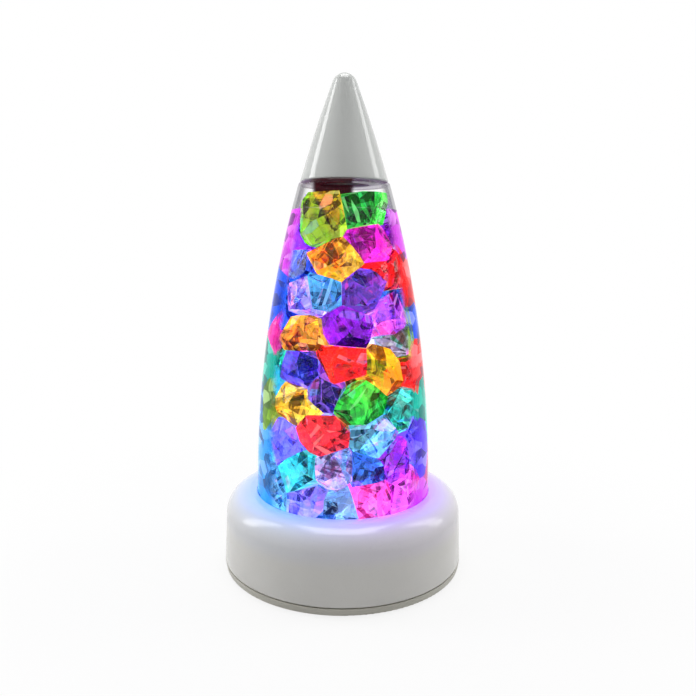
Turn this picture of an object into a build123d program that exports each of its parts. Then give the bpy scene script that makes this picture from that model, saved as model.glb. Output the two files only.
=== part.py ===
from build123d import *
import math
import os
import random
import numpy
from scipy.spatial import HalfspaceIntersection

# A table lamp: a clear bullet-shaped tank of coloured stones on a lit round base, under a pointed cap.
# Millimetres. The feet stand at height 0, the lamp's axis is Z, its front faces -Y and its rear +Y.

# Tank
TANK_FOOT_RADIUS = 46.3
TANK_TOP_RADIUS = 23.3
TANK_HEIGHT = 161.5  # from the crest of the base to the shoulder under the cap
TANK_WALL = 1.4
TANK_SHOULDER_ROUND = 1.8
FLANGE_LIP = 3.6  # how far the clamped flange stands out from the tank's foot
FLANGE_THICKNESS = 3.0
FLOOR_LEDGE = 1.0  # step in the wall that the clear floor seats against
FLOOR_FIT = 0.1
NECK_RADIUS = 16.5
NECK_WALL = 3.6
NECK_HEADROOM = 1.5
NECK_EDGE = 0.6

# Cap and neck seal
CAP_RADIUS = 22.8
CAP_HEIGHT = 53.9
CAP_SIDE_CURVE = 640.0
CAP_TIP_RADIUS = 6.5
CAP_WALL = 2.0
CAP_COLLAR_WALL = 1.8
CAP_FIT = 0.3
CAP_EDGE = 0.7
SEAL_THICKNESS = 2.0
SEAL_ROOM = 0.05
SEAL_LIFT = 6.5  # height of the seal above the tank's shoulder

# Base shell
BASE_LEDGE = 17.7  # width of the base outside the tank's foot
SHELL_HEIGHT = 36.3
SHELL_WALL = 2.4
SHELL_DRAFT = 2.4  # degrees
SHOULDER_RADIUS = 12.0
SHELL_EDGE_ROUND = 0.4
DISH_WIDTH = 3.2
DISH_DEPTH = 0.6
TANK_FIT = 0.4
COLLAR_DEPTH = 3.0
COLLAR_WALL = 2.4

# Clamp under the tank
GASKET_THICKNESS = 1.2
CLAMP_THICKNESS = 3.0
CLAMP_WINDOW_LEDGE = 3.0  # how far the ring reaches in under the clear floor
CLAMP_BOSS_RADIUS = 2.8
CLAMP_BOSS_ROOM = 0.4

# Base plate
PLATE_BAND = 4.2
PLATE_FLOOR = 2.4
PLATE_TAPER = 0.6
PLATE_EDGE_ROUND = 0.7
GROOVE_HEIGHT = 0.5
GROOVE_DEPTH = 1.0
SPIGOT_HEIGHT = 3.0
SPIGOT_WALL = 1.8
SPIGOT_FIT = 0.2
PLATE_BOSS_RADIUS = 3.4
PLATE_BOSS_HEIGHT = 21.0
PLATE_BOSS_ROOM = 0.3
PLATE_PAD_HEIGHT = 1.6
GUSSET_WIDTH = 2.4

# Feet
FOOT_COUNT = 4
FOOT_RADIUS = 5.0
FOOT_THICKNESS = 2.2
FOOT_RECESS = 1.2
FOOT_FIT = 0.1
FOOT_INSET = 12.5  # from the rim of the base to the middle of a foot

# Screws
SCREW_RADIUS = 1.45
SCREW_HEAD_RADIUS = 2.6
SCREW_HEAD_HEIGHT = 1.6
SCREW_ROOM = 0.05
SCREW_HEAD_ROOM = 0.2
SCREW_SLOT_WIDTH = 0.7
SCREW_SLOT_DEPTH = 0.6
PLATE_SCREW_BITE = 8.0
CLAMP_SCREW_BITE = 5.0
BOARD_SCREW_BITE = 5.0
PLATE_SCREW_COUNT = 4
CLAMP_SCREW_COUNT = 4
BOARD_SCREW_COUNT = 3
BOARD_SCREW_START = 30.0  # degrees round from the right to the first board screw

# Battery box and door
CELL_COUNT = 3
CELL_DIAMETER = 14.2
CELL_BODY = 49.2
CELL_NUB = 1.3
CELL_NUB_RADIUS = 2.75
CELL_ROOM = 0.4
CONTACT_ROOM = 3.0
CONTACT_THICKNESS = 0.5
CONTACT_WIDTH = 8.0
CONTACT_TAIL_WIDTH = 3.0
CONTACT_CONE_RADIUS = 3.0
CONTACT_SLOT_ROOM = 0.3
BOX_WALL = 1.6
DOOR_THICKNESS = 1.8
DOOR_ROOM = 0.3
HINGE_BARREL_RADIUS = 1.2
HINGE_PIN_RADIUS = 0.7
HINGE_PIN_ROOM = 0.05
STOP_WIDTH = 5.0
STOP_DEPTH = 2.0
STOP_HEIGHT = 1.2
FINGER_SCOOP_WIDTH = 14.0
FINGER_SCOOP_RADIUS = 3.0
FINGER_SCOOP_DEPTH = 0.8

# Light board
BOARD_THICKNESS = 1.6
BOARD_GAP = 1.2
STANDOFF_RADIUS = 2.8
STANDOFF_INSET = 2.0  # from the outside of the tank's foot in to the standoffs
BOARD_MARGIN = 0.4
BOARD_TONGUE_WIDTH = 34.0
LED_COUNT = 6
LED_CIRCLE = 24.0
LED_SIZE = 5.0
LED_HEIGHT = 1.2
LED_LENS_RADIUS = 2.0
LED_LENS_HEIGHT = 0.7
CHIP_LENGTH = 10.0
CHIP_WIDTH = 6.0
CHIP_HEIGHT = 1.7
CHIP_PLACE = -13.0
CHIP_LEAD_COUNT = 6
CHIP_LEAD_WIDTH = 0.6
CHIP_LEAD_REACH = 1.2
CHIP_LEAD_HEIGHT = 0.8

# Rear panel, its button and its inlet
PANEL_WIDTH = 34.0
PANEL_HEIGHT = 15.0
PANEL_PAD_MARGIN = 1.5
CONTROL_SPREAD = 9.0  # button and inlet lie this far each side of the middle
BUTTON_RADIUS = 4.0
BUTTON_FIT = 0.15
BUTTON_PROUD = 1.8
BUTTON_ROUND = 0.6
BUTTON_TRAVEL = 1.5
BUTTON_FLANGE = 1.1
BUTTON_FLANGE_THICKNESS = 1.2
BUTTON_STEM_RADIUS = 1.5
BUTTON_ROOM = 0.3
SWITCH_WIDTH = 8.0
SWITCH_LENGTH = 5.0
SWITCH_HEIGHT = 6.4
SWITCH_BORE_DEPTH = 4.2
STEM_OVERLAP = 2.5  # how far the stem stands in the switch when it is out
STEM_FIT = 0.1
INLET_WIDTH = 9.0
INLET_HEIGHT = 3.3
INLET_LENGTH = 10.5
INLET_SETBACK = 0.4
INLET_SKIN = 0.35
INLET_DEPTH = 6.5
INLET_TONGUE_WIDTH = 6.6
INLET_TONGUE_HEIGHT = 0.7
INLET_TONGUE_LENGTH = 5.5
INLET_FIT = 0.3

# Stones
STONE_GAP = 0.25
STONE_HEADROOM = 4.5  # left clear between the stones and the top of the tank
STONE_INSET = 9.5  # from the tank's inner wall to the middle of an outer stone
STONE_CHIP = 3.6
STONE_CHIP_COUNT = 6
STONE_FACE_CUT = 3.0
STONE_FACE_TILT = 26.0  # degrees
STONE_FACE_TURNS = (0, 130, 230)  # degrees round the line from the axis out to the stone
STONE_SEED = 11
CORE_STEP = 0.105
CORE_INSET = 0.24  # inner stones stand this share of the radius off the axis
CORE_TOP = 0.75
CORE_COUNT = 2
CORE_TURN = 67.0  # degrees from one layer of the core to the next
WALL_FACETS = 24
WALL_LEVELS = 8

# Stones seen through the front: degrees to the right, share of the inner height, depth, colour.
# Depth 1 lies against the wall and a larger depth lies further in.
FRONT_STONES = [
    (-26, 0.91, 1.0, "lime"), (27, 0.93, 1.0, "green"),
    (32, 0.845, 1.0, "magenta"), (-80, 0.87, 1.0, "purple"), (85, 0.89, 1.0, "purple"),
    (-10, 0.775, 1.0, "amber"), (80, 0.755, 1.0, "red"), (36, 0.755, 1.7, "red"),
    (-62, 0.755, 1.0, "blue"), (-20, 0.69, 1.0, "sky"), (16, 0.69, 1.0, "violet"),
    (-45, 0.67, 1.0, "clear"), (-78, 0.635, 1.0, "blue"), (80, 0.64, 1.0, "blue"), (45, 0.615, 1.0, "pink"),
    (-38, 0.565, 1.0, "amber"), (2, 0.59, 1.0, "purple"), (58, 0.545, 1.2, "clear"),
    (86, 0.51, 1.0, "lime"), (-84, 0.515, 1.0, "magenta"),
    (-68, 0.43, 1.0, "teal"), (-36, 0.455, 1.0, "violet"), (-1, 0.47, 1.0, "red"), (34, 0.46, 1.0, "amber"),
    (68, 0.425, 1.0, "red"), (-42, 0.35, 1.0, "amber"), (12, 0.36, 1.0, "green"), (-15, 0.39, 1.3, "violet"),
    (50, 0.315, 1.0, "teal"), (-82, 0.30, 1.0, "lime"), (84, 0.33, 1.0, "teal"),
    (-16, 0.26, 1.0, "red"), (24, 0.245, 1.0, "sky"), (-48, 0.225, 1.0, "violet"), (62, 0.215, 1.0, "violet"),
    (42, 0.175, 1.0, "purple"), (16, 0.155, 1.1, "blue"), (-5, 0.155, 1.0, "clear"), (-82, 0.165, 1.0, "sky"),
    (-32, 0.135, 1.0, "teal"), (86, 0.14, 1.0, "blue"), (-64, 0.065, 1.0, "sky"), (-23, 0.05, 1.0, "violet"),
    (-3, 0.04, 1.0, "sky"), (19, 0.065, 1.0, "magenta"), (52, 0.065, 1.0, "pink"),
    (86, 0.035, 1.0, "magenta"),
]
SIDE_ANGLE = 75.0  # stones further round than this stand between front and back
BACK_SHIFT = 0.012
BACK_COLOUR_STEP = 5
BACK_COLOUR_START = 7
CORE_COLOUR_STEP = 7
COLOURS = [
    "red", "amber", "lime", "green", "teal", "sky", "blue", "violet", "purple", "magenta", "pink", "clear",
]

# Heights, from the floor up
z_plate = FOOT_THICKNESS - FOOT_RECESS
z_plate_floor = z_plate + PLATE_FLOOR
z_parting = z_plate + PLATE_BAND
z_crest = z_parting + SHELL_HEIGHT
z_collar = z_crest - COLLAR_DEPTH
z_flange = z_collar - GASKET_THICKNESS
z_tank = z_flange - FLANGE_THICKNESS
z_clamp = z_tank - CLAMP_THICKNESS
z_shoulder = z_crest + TANK_HEIGHT
z_tip = z_shoulder + CAP_HEIGHT
z_door = z_plate + DOOR_THICKNESS
z_cell = z_door + CELL_ROOM + CELL_DIAMETER / 2
z_box_roof = z_cell + CELL_DIAMETER / 2 + CELL_ROOM
z_box_top = z_box_roof + BOX_WALL
z_board = z_box_top + BOARD_GAP
z_board_top = z_board + BOARD_THICKNESS
z_hinge = z_plate + HINGE_BARREL_RADIUS
z_button = z_board_top + SWITCH_HEIGHT / 2
z_seal = z_shoulder + SEAL_LIFT
z_plate_pad = z_plate_floor + PLATE_PAD_HEIGHT

# Radii
base_radius = TANK_FOOT_RADIUS + BASE_LEDGE
tank_bore = TANK_FOOT_RADIUS - TANK_WALL
flange_radius = TANK_FOOT_RADIUS + FLANGE_LIP
floor_radius = tank_bore + FLOOR_LEDGE
neck_bore = NECK_RADIUS - NECK_WALL
cap_bore = NECK_RADIUS + CAP_FIT
cap_collar_radius = cap_bore + CAP_COLLAR_WALL
shell_bore = TANK_FOOT_RADIUS + TANK_FIT
clamp_window = tank_bore - CLAMP_WINDOW_LEDGE
clamp_circle = flange_radius + CLAMP_BOSS_ROOM + CLAMP_BOSS_RADIUS
spigot_radius = base_radius - SHELL_WALL - SPIGOT_FIT
plate_boss_circle = spigot_radius - SPIGOT_WALL - PLATE_BOSS_ROOM - PLATE_BOSS_RADIUS
standoff_circle = TANK_FOOT_RADIUS - STANDOFF_INSET
board_radius = standoff_circle + STANDOFF_RADIUS + BOARD_MARGIN
foot_circle = base_radius - FOOT_INSET
pilot_radius = SCREW_RADIUS + SCREW_ROOM

# Battery box
cell_pitch = CELL_DIAMETER + CELL_ROOM
box_half_x = (CELL_BODY + CELL_NUB) / 2 + CONTACT_ROOM
box_half_y = (CELL_COUNT * CELL_DIAMETER + (CELL_COUNT + 1) * CELL_ROOM) / 2
x_hinge = DOOR_ROOM + HINGE_BARREL_RADIUS - box_half_x
cell_rows = [(index - (CELL_COUNT - 1) / 2) * cell_pitch for index in range(CELL_COUNT)]

# Rear panel
draft_slope = math.tan(math.radians(SHELL_DRAFT))
panel_wall_radius = base_radius - (z_button - z_parting) * draft_slope
y_panel = math.sqrt(panel_wall_radius ** 2 - (PANEL_WIDTH / 2) ** 2)
y_panel_inside = y_panel - SHELL_WALL
y_flange = y_panel_inside - BUTTON_ROOM - BUTTON_FLANGE_THICKNESS
y_switch = y_flange - BUTTON_TRAVEL - BUTTON_ROOM
y_board = y_switch

# The tank's side is one arc, upright where it leaves the base
tank_narrowing = TANK_FOOT_RADIUS - TANK_TOP_RADIUS
tank_curve = (tank_narrowing ** 2 + TANK_HEIGHT ** 2) / (2 * tank_narrowing)
tank_curve_x = TANK_FOOT_RADIUS - tank_curve


def tank_radius(z, inset):
    """Radius of the tank's side at a height, so far inside its outer face."""
    rise = max(z - z_crest, 0)
    return tank_curve_x + math.sqrt((tank_curve - inset) ** 2 - rise ** 2)


def disc(radius, low, high, x=0, y=0):
    """Upright cylinder between two heights."""
    return Pos(x, y, low) * Cylinder(radius, high - low, align=(Align.CENTER, Align.CENTER, Align.MIN))


def ring(inner, outer, low, high):
    """Upright tube between two heights."""
    return disc(outer, low, high) - disc(inner, low, high)


def block(x_low, x_high, y_low, y_high, low, high):
    """Box between its lowest and highest corners."""
    size = (x_high - x_low, y_high - y_low, high - low)
    return Pos(x_low, y_low, low) * Box(*size, align=(Align.MIN, Align.MIN, Align.MIN))


def rod_y(radius, x, z, y_low, y_high):
    """Cylinder along Y."""
    rod = Cylinder(radius, y_high - y_low, align=(Align.CENTER, Align.CENTER, Align.MIN))
    return Pos(x, y_low, z) * Rot(-90, 0, 0) * rod


def turned(lines):
    """Solid turned about the lamp's axis from an outline of radius and height."""
    return revolve(Plane.XZ * make_face(lines), Axis.Z)


def circle_places(count, radius, first):
    """Places spread evenly round a circle, from a first angle in degrees."""
    angles = [math.radians(first + 360 * index / count) for index in range(count)]
    return [(radius * math.cos(angle), radius * math.sin(angle)) for angle in angles]


plate_screw_places = circle_places(PLATE_SCREW_COUNT, plate_boss_circle, 180 / PLATE_SCREW_COUNT)
clamp_screw_places = circle_places(CLAMP_SCREW_COUNT, clamp_circle, 0)
board_screw_places = circle_places(BOARD_SCREW_COUNT, standoff_circle, BOARD_SCREW_START)
foot_places = circle_places(FOOT_COUNT, foot_circle, 0)


# Cap

def cap_arc_centre():
    """Centre of the side arc that starts at the cap's rim and runs smoothly into its round tip."""
    tip_z = z_tip - CAP_TIP_RADIUS
    reach = math.hypot(CAP_RADIUS, tip_z - z_shoulder)
    towards = (-CAP_RADIUS / reach, (tip_z - z_shoulder) / reach)
    along = (CAP_SIDE_CURVE ** 2 - (CAP_SIDE_CURVE - CAP_TIP_RADIUS) ** 2 + reach ** 2) / (2 * reach)
    aside = math.sqrt(CAP_SIDE_CURVE ** 2 - along ** 2)
    x = CAP_RADIUS + along * towards[0] - aside * towards[1]
    z = z_shoulder + along * towards[1] + aside * towards[0]
    return x, z


cap_x, cap_z = cap_arc_centre()


def cap_bore_top():
    """Height at which the cap's bore runs into its hollow tip."""
    return cap_z + math.sqrt((CAP_SIDE_CURVE - CAP_WALL) ** 2 - (cap_bore - cap_x) ** 2)


z_neck = cap_bore_top() - NECK_HEADROOM


def cap_form(inset):
    """Solid inside the cap's outer face, so far in from it."""
    tip_z = z_tip - CAP_TIP_RADIUS
    side = CAP_SIDE_CURVE - inset
    tip = CAP_TIP_RADIUS - inset
    start_angle = math.asin((z_shoulder - cap_z) / side)
    end_angle = math.atan2(tip_z - cap_z, -cap_x)
    middle_angle = (start_angle + end_angle) / 2
    tip_angle = (end_angle + math.pi / 2) / 2
    start = (cap_x + side * math.cos(start_angle), z_shoulder)
    middle = (cap_x + side * math.cos(middle_angle), cap_z + side * math.sin(middle_angle))
    end = (tip * math.cos(end_angle), tip_z + tip * math.sin(end_angle))
    tip_middle = (tip * math.cos(tip_angle), tip_z + tip * math.sin(tip_angle))
    top = (0, tip_z + tip)
    lines = [
        Polyline(top, (0, z_shoulder), start),
        ThreePointArc(start, middle, end),
        ThreePointArc(end, tip_middle, top),
    ]
    return turned(lines)


def make_cap():
    outside = cap_form(0)
    rim = outside.edges().filter_by(GeomType.CIRCLE).sort_by(Axis.Z)[0]
    outside = fillet(rim, CAP_EDGE)
    collar = ring(cap_bore, cap_collar_radius, z_shoulder, z_tip)
    return outside - (cap_form(CAP_WALL) - collar)


def make_neck_seal():
    middle = cap_bore - SEAL_ROOM - SEAL_THICKNESS / 2
    return Pos(0, 0, z_seal) * Torus(middle, SEAL_THICKNESS / 2)


# Tank

def make_tank():
    middle_z = (z_crest + z_shoulder) / 2
    z_inside = z_shoulder - TANK_WALL
    middle_inside_z = (z_crest + z_inside) / 2
    outer_foot = (TANK_FOOT_RADIUS, z_crest)
    outer_top = (TANK_TOP_RADIUS, z_shoulder)
    inner_top = (tank_radius(z_inside, TANK_WALL), z_inside)
    inner_foot = (tank_bore, z_crest)
    seat = floor_radius + FLOOR_FIT
    lines = [
        Polyline(
            (seat, z_tank), (flange_radius, z_tank), (flange_radius, z_flange),
            (TANK_FOOT_RADIUS, z_flange), outer_foot,
        ),
        ThreePointArc(outer_foot, (tank_radius(middle_z, 0), middle_z), outer_top),
        Polyline(
            outer_top, (NECK_RADIUS, z_shoulder), (NECK_RADIUS, z_neck), (neck_bore, z_neck),
            (neck_bore, z_inside), inner_top,
        ),
        ThreePointArc(inner_top, (tank_radius(middle_inside_z, TANK_WALL), middle_inside_z), inner_foot),
        Polyline(inner_foot, (tank_bore, z_flange), (seat, z_flange), (seat, z_tank)),
    ]
    body = turned(lines)
    rounds = body.edges().filter_by(GeomType.CIRCLE)
    shoulder = [edge for edge in rounds if abs(edge.radius - TANK_TOP_RADIUS) < FLOOR_FIT]
    body = fillet(shoulder, TANK_SHOULDER_ROUND)
    lip = body.edges().filter_by(GeomType.CIRCLE).group_by(Axis.Z)[-1].sort_by(SortBy.RADIUS)[-1]
    body = fillet(lip, NECK_EDGE)
    groove_half = SEAL_THICKNESS / 2 + SEAL_ROOM
    groove_radius = cap_bore - SEAL_ROOM - SEAL_THICKNESS - SEAL_ROOM
    return body - ring(groove_radius, cap_bore, z_seal - groove_half, z_seal + groove_half)


def make_tank_floor():
    return disc(floor_radius, z_tank, z_flange)


def make_tank_gasket():
    return ring(shell_bore, flange_radius, z_flange, z_collar)


# Base shell

def shell_form(inset):
    """Solid inside the base's outer face, so far in from it."""
    top = z_crest - inset
    foot_radius = base_radius - inset
    top_radius = foot_radius - (top - z_parting) * draft_slope
    outline = Polyline((0, z_parting), (foot_radius, z_parting), (top_radius, top), (0, top), close=True)
    form = turned(outline)
    flat = base_radius - SHELL_HEIGHT * draft_slope - shell_bore - DISH_WIDTH
    rim = form.edges().filter_by(GeomType.CIRCLE).sort_by(Axis.Z)[-1]
    return fillet(rim, min(SHOULDER_RADIUS, flat) - inset)


def make_base_shell():
    outside = shell_form(0)
    foot = outside.edges().filter_by(GeomType.CIRCLE).sort_by(Axis.Z)[0]
    outside = fillet(foot, SHELL_EDGE_ROUND)
    shell = outside - shell_form(SHELL_WALL)
    shell += ring(shell_bore, shell_bore + COLLAR_WALL, z_collar, z_crest - SHELL_WALL / 2)
    for x, y in clamp_screw_places:
        shell += outside & disc(CLAMP_BOSS_RADIUS, z_tank, z_crest - SHELL_WALL / 2, x, y)
    for index, (x, y) in enumerate(plate_screw_places):
        shell += disc(PLATE_BOSS_RADIUS, z_plate_pad, z_parting + PLATE_BOSS_HEIGHT, x, y)
        web = block(
            plate_boss_circle, base_radius, -GUSSET_WIDTH / 2, GUSSET_WIDTH / 2,
            z_parting + SPIGOT_HEIGHT + PLATE_BOSS_ROOM, z_parting + PLATE_BOSS_HEIGHT,
        )
        shell += outside & Rot(0, 0, (index + 0.5) * 360 / PLATE_SCREW_COUNT) * web
    pad_x = PANEL_WIDTH / 2 + PANEL_PAD_MARGIN
    pad_z = PANEL_HEIGHT / 2 + PANEL_PAD_MARGIN
    shell += outside & block(-pad_x, pad_x, y_panel_inside, base_radius, z_button - pad_z, z_button + pad_z)
    panel_low = z_button - PANEL_HEIGHT / 2
    panel_high = z_button + PANEL_HEIGHT / 2
    shell -= block(-base_radius, base_radius, y_panel, base_radius, panel_low, panel_high)
    shell -= disc(shell_bore, z_collar, z_crest)
    dish = Polyline(
        (0, z_crest - DISH_DEPTH), (shell_bore, z_crest - DISH_DEPTH), (shell_bore + DISH_WIDTH, z_crest),
        (0, z_crest), close=True,
    )
    shell -= turned(dish)
    for x, y in clamp_screw_places:
        shell -= disc(pilot_radius, z_tank, z_tank + CLAMP_SCREW_BITE + SCREW_ROOM, x, y)
    for x, y in plate_screw_places:
        shell -= disc(pilot_radius, z_plate_pad, z_plate_pad + PLATE_SCREW_BITE + SCREW_ROOM, x, y)
    shell -= rod_y(BUTTON_RADIUS + BUTTON_FIT, -CONTROL_SPREAD, z_button, y_panel_inside, base_radius)
    flange_room = BUTTON_RADIUS + BUTTON_FLANGE + BUTTON_ROOM
    shell -= rod_y(flange_room, -CONTROL_SPREAD, z_button, y_switch, y_panel_inside)
    inlet_half = INLET_WIDTH / 2 + INLET_FIT
    shell -= block(
        CONTROL_SPREAD - inlet_half, CONTROL_SPREAD + inlet_half, y_panel_inside, base_radius,
        z_board_top - INLET_FIT, z_board_top + INLET_HEIGHT + INLET_FIT,
    )
    return shell


# Clamp ring

def make_clamp_ring():
    clamp = ring(clamp_window, flange_radius, z_clamp, z_tank)
    for index, (x, y) in enumerate(clamp_screw_places):
        lug = block(
            clamp_window + CLAMP_WINDOW_LEDGE, clamp_circle, -CLAMP_BOSS_RADIUS, CLAMP_BOSS_RADIUS,
            z_clamp, z_tank,
        )
        clamp += Rot(0, 0, index * 360 / CLAMP_SCREW_COUNT) * lug
        clamp += disc(CLAMP_BOSS_RADIUS, z_clamp, z_tank, x, y)
    for x, y in board_screw_places:
        clamp += disc(STANDOFF_RADIUS, z_board_top, z_clamp, x, y)
    for x, y in clamp_screw_places:
        clamp -= disc(pilot_radius, z_clamp, z_tank, x, y)
    for x, y in board_screw_places:
        clamp -= disc(pilot_radius, z_board_top, z_board_top + BOARD_SCREW_BITE + SCREW_ROOM, x, y)
    return clamp


# Base plate

def make_base_plate():
    foot = base_radius - PLATE_TAPER
    inside = spigot_radius - SPIGOT_WALL
    outline = Polyline(
        (0, z_plate), (foot, z_plate), (base_radius, z_parting - GROOVE_HEIGHT),
        (base_radius - GROOVE_DEPTH, z_parting - GROOVE_HEIGHT), (base_radius - GROOVE_DEPTH, z_parting),
        (spigot_radius, z_parting), (spigot_radius, z_parting + SPIGOT_HEIGHT),
        (inside, z_parting + SPIGOT_HEIGHT), (inside, z_plate_floor), (0, z_plate_floor), close=True,
    )
    plate = turned(outline)
    rim = plate.edges().filter_by(GeomType.CIRCLE).sort_by(Axis.Z)[0]
    plate = fillet(rim, PLATE_EDGE_ROUND)
    outer_x = box_half_x + BOX_WALL
    outer_y = box_half_y + BOX_WALL
    plate += block(-outer_x, outer_x, -outer_y, outer_y, z_plate, z_box_top)
    plate -= block(-box_half_x, box_half_x, -box_half_y, box_half_y, z_plate, z_box_roof)
    for y in (-box_half_y / 2, box_half_y / 2):
        plate += block(
            box_half_x - STOP_DEPTH, box_half_x, y - STOP_WIDTH / 2, y + STOP_WIDTH / 2,
            z_door, z_door + STOP_HEIGHT,
        )
    plate -= rod_y(HINGE_PIN_RADIUS + HINGE_PIN_ROOM, x_hinge, z_hinge, -outer_y, outer_y)
    for end, row in terminal_places():
        low, high = sorted((end * box_half_x, end * (box_half_x - CONTACT_THICKNESS - CONTACT_SLOT_ROOM)))
        half = CONTACT_TAIL_WIDTH / 2 + CONTACT_SLOT_ROOM
        plate -= block(low, high, row - half, row + half, z_box_roof, z_box_top)
    for x, y in plate_screw_places:
        plate += disc(PLATE_BOSS_RADIUS, z_plate_floor, z_plate_pad, x, y)
    for x, y in plate_screw_places:
        pocket = SCREW_HEAD_HEIGHT + SCREW_HEAD_ROOM
        plate -= disc(SCREW_HEAD_RADIUS + SCREW_HEAD_ROOM, z_plate, z_plate + pocket, x, y)
        plate -= disc(pilot_radius, z_plate, z_plate_pad, x, y)
    for x, y in foot_places:
        plate -= disc(FOOT_RADIUS + FOOT_FIT, z_plate, z_plate + FOOT_RECESS, x, y)
    return plate


def make_rubber_feet():
    feet = []
    for x, y in foot_places:
        foot = disc(FOOT_RADIUS, 0, FOOT_THICKNESS, x, y)
        edge = foot.edges().filter_by(GeomType.CIRCLE).sort_by(Axis.Z)[0]
        feet.append(fillet(edge, FOOT_RECESS / 2))
    return feet


# Screws

def screw(x, y, seat, length):
    """Pan-head screw that points up, with its head under the seat."""
    head = disc(SCREW_HEAD_RADIUS, seat - SCREW_HEAD_HEIGHT, seat, x, y)
    half = SCREW_SLOT_WIDTH / 2
    low = seat - SCREW_HEAD_HEIGHT
    reach = SCREW_HEAD_RADIUS / math.sqrt(2)
    across = block(x - reach, x + reach, y - half, y + half, low, low + SCREW_SLOT_DEPTH)
    along = block(x - half, x + half, y - reach, y + reach, low, low + SCREW_SLOT_DEPTH)
    return head - across - along + disc(SCREW_RADIUS, seat, seat + length, x, y)


def make_plate_screws():
    seat = z_plate + SCREW_HEAD_HEIGHT + SCREW_HEAD_ROOM
    length = z_plate_pad - seat + PLATE_SCREW_BITE
    return [screw(x, y, seat, length) for x, y in plate_screw_places]


def make_clamp_screws():
    return [screw(x, y, z_clamp, CLAMP_THICKNESS + CLAMP_SCREW_BITE) for x, y in clamp_screw_places]


def make_board_screws():
    return [screw(x, y, z_board, BOARD_THICKNESS + BOARD_SCREW_BITE) for x, y in board_screw_places]


# Batteries

def terminal_places():
    """End of the box, as a sign, and row of the two contacts that reach up to the board."""
    return [(-1, cell_rows[-1]), (1, cell_rows[0])]


def make_batteries():
    cells = []
    for index, y in enumerate(cell_rows):
        facing = 1 if index % 2 else -1
        upright = disc(CELL_DIAMETER / 2, -(CELL_BODY + CELL_NUB) / 2, (CELL_BODY - CELL_NUB) / 2)
        upright += disc(CELL_NUB_RADIUS, 0, (CELL_BODY + CELL_NUB) / 2)
        cells.append(Pos(0, y, z_cell) * Rot(0, 90 * facing, 0) * upright)
    return cells


def contact(end, rows, top):
    """Contact strip on one end wall, with a spring cone pressing on each cell."""
    outside = end * box_half_x
    inside = end * (box_half_x - CONTACT_THICKNESS)
    low, high = sorted((outside, inside))
    half = CONTACT_WIDTH / 2
    strip = block(low, high, min(rows) - half, max(rows) + half, z_cell - half, z_cell + half)
    cone_height = CONTACT_ROOM - CONTACT_THICKNESS
    for row in rows:
        cone = Cone(
            CONTACT_CONE_RADIUS, CONTACT_CONE_RADIUS / 2, cone_height,
            align=(Align.CENTER, Align.CENTER, Align.MIN),
        )
        strip += Pos(inside, row, z_cell) * Rot(0, -90 * end, 0) * cone
    if top > z_cell + half:
        tail = CONTACT_TAIL_WIDTH / 2
        strip += block(low, high, rows[0] - tail, rows[0] + tail, z_cell, top)
    return strip


def make_battery_contacts():
    strips = [contact(end, [row], z_board) for end, row in terminal_places()]
    strips.append(contact(-1, cell_rows[:-1], z_cell))
    strips.append(contact(1, cell_rows[1:], z_cell))
    return strips


def make_battery_door():
    half = box_half_y - DOOR_ROOM
    free_end = box_half_x - DOOR_ROOM
    door = block(x_hinge, free_end, -half, half, z_plate, z_door)
    door += rod_y(HINGE_BARREL_RADIUS, x_hinge, z_hinge, -half, half)
    pin_end = box_half_y + BOX_WALL
    door += rod_y(HINGE_PIN_RADIUS, x_hinge, z_hinge, -pin_end, pin_end)
    scoop_z = z_plate + FINGER_SCOOP_DEPTH - FINGER_SCOOP_RADIUS
    scoop_half = FINGER_SCOOP_WIDTH / 2
    scoop_x = free_end - FINGER_SCOOP_RADIUS
    return door - rod_y(FINGER_SCOOP_RADIUS, scoop_x, scoop_z, -scoop_half, scoop_half)


# Light board

def make_main_board():
    board = disc(board_radius, z_board, z_board_top)
    half = BOARD_TONGUE_WIDTH / 2
    board += block(-half, half, 0, y_board, z_board, z_board_top)
    for x, y in board_screw_places:
        board -= disc(pilot_radius, z_board, z_board_top, x, y)
    return board


def make_leds():
    places = [(0, 0)] + circle_places(LED_COUNT, LED_CIRCLE, 0)
    half = LED_SIZE / 2
    leds = []
    for x, y in places:
        led = block(x - half, x + half, y - half, y + half, z_board_top, z_board_top + LED_HEIGHT)
        led += disc(LED_LENS_RADIUS, z_board_top, z_board_top + LED_HEIGHT + LED_LENS_HEIGHT, x, y)
        leds.append(led)
    return leds


def make_controller_chip():
    half_x = CHIP_LENGTH / 2
    half_y = CHIP_WIDTH / 2
    top = z_board_top + CHIP_HEIGHT
    chip = block(-half_x, half_x, CHIP_PLACE - half_y, CHIP_PLACE + half_y, z_board_top, top)
    pitch = CHIP_LENGTH / CHIP_LEAD_COUNT
    reach = half_y + CHIP_LEAD_REACH
    for index in range(CHIP_LEAD_COUNT):
        x = (index - (CHIP_LEAD_COUNT - 1) / 2) * pitch
        low = x - CHIP_LEAD_WIDTH / 2
        high = x + CHIP_LEAD_WIDTH / 2
        lead_top = z_board_top + CHIP_LEAD_HEIGHT
        chip += block(low, high, CHIP_PLACE - reach, CHIP_PLACE + reach, z_board_top, lead_top)
    return chip


# Rear controls

def make_power_switch():
    half = SWITCH_WIDTH / 2
    x = -CONTROL_SPREAD
    top = z_board_top + SWITCH_HEIGHT
    body = block(x - half, x + half, y_switch - SWITCH_LENGTH, y_switch, z_board_top, top)
    bore = rod_y(BUTTON_STEM_RADIUS + STEM_FIT, x, z_button, y_switch - SWITCH_BORE_DEPTH, y_switch)
    return body - bore


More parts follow.
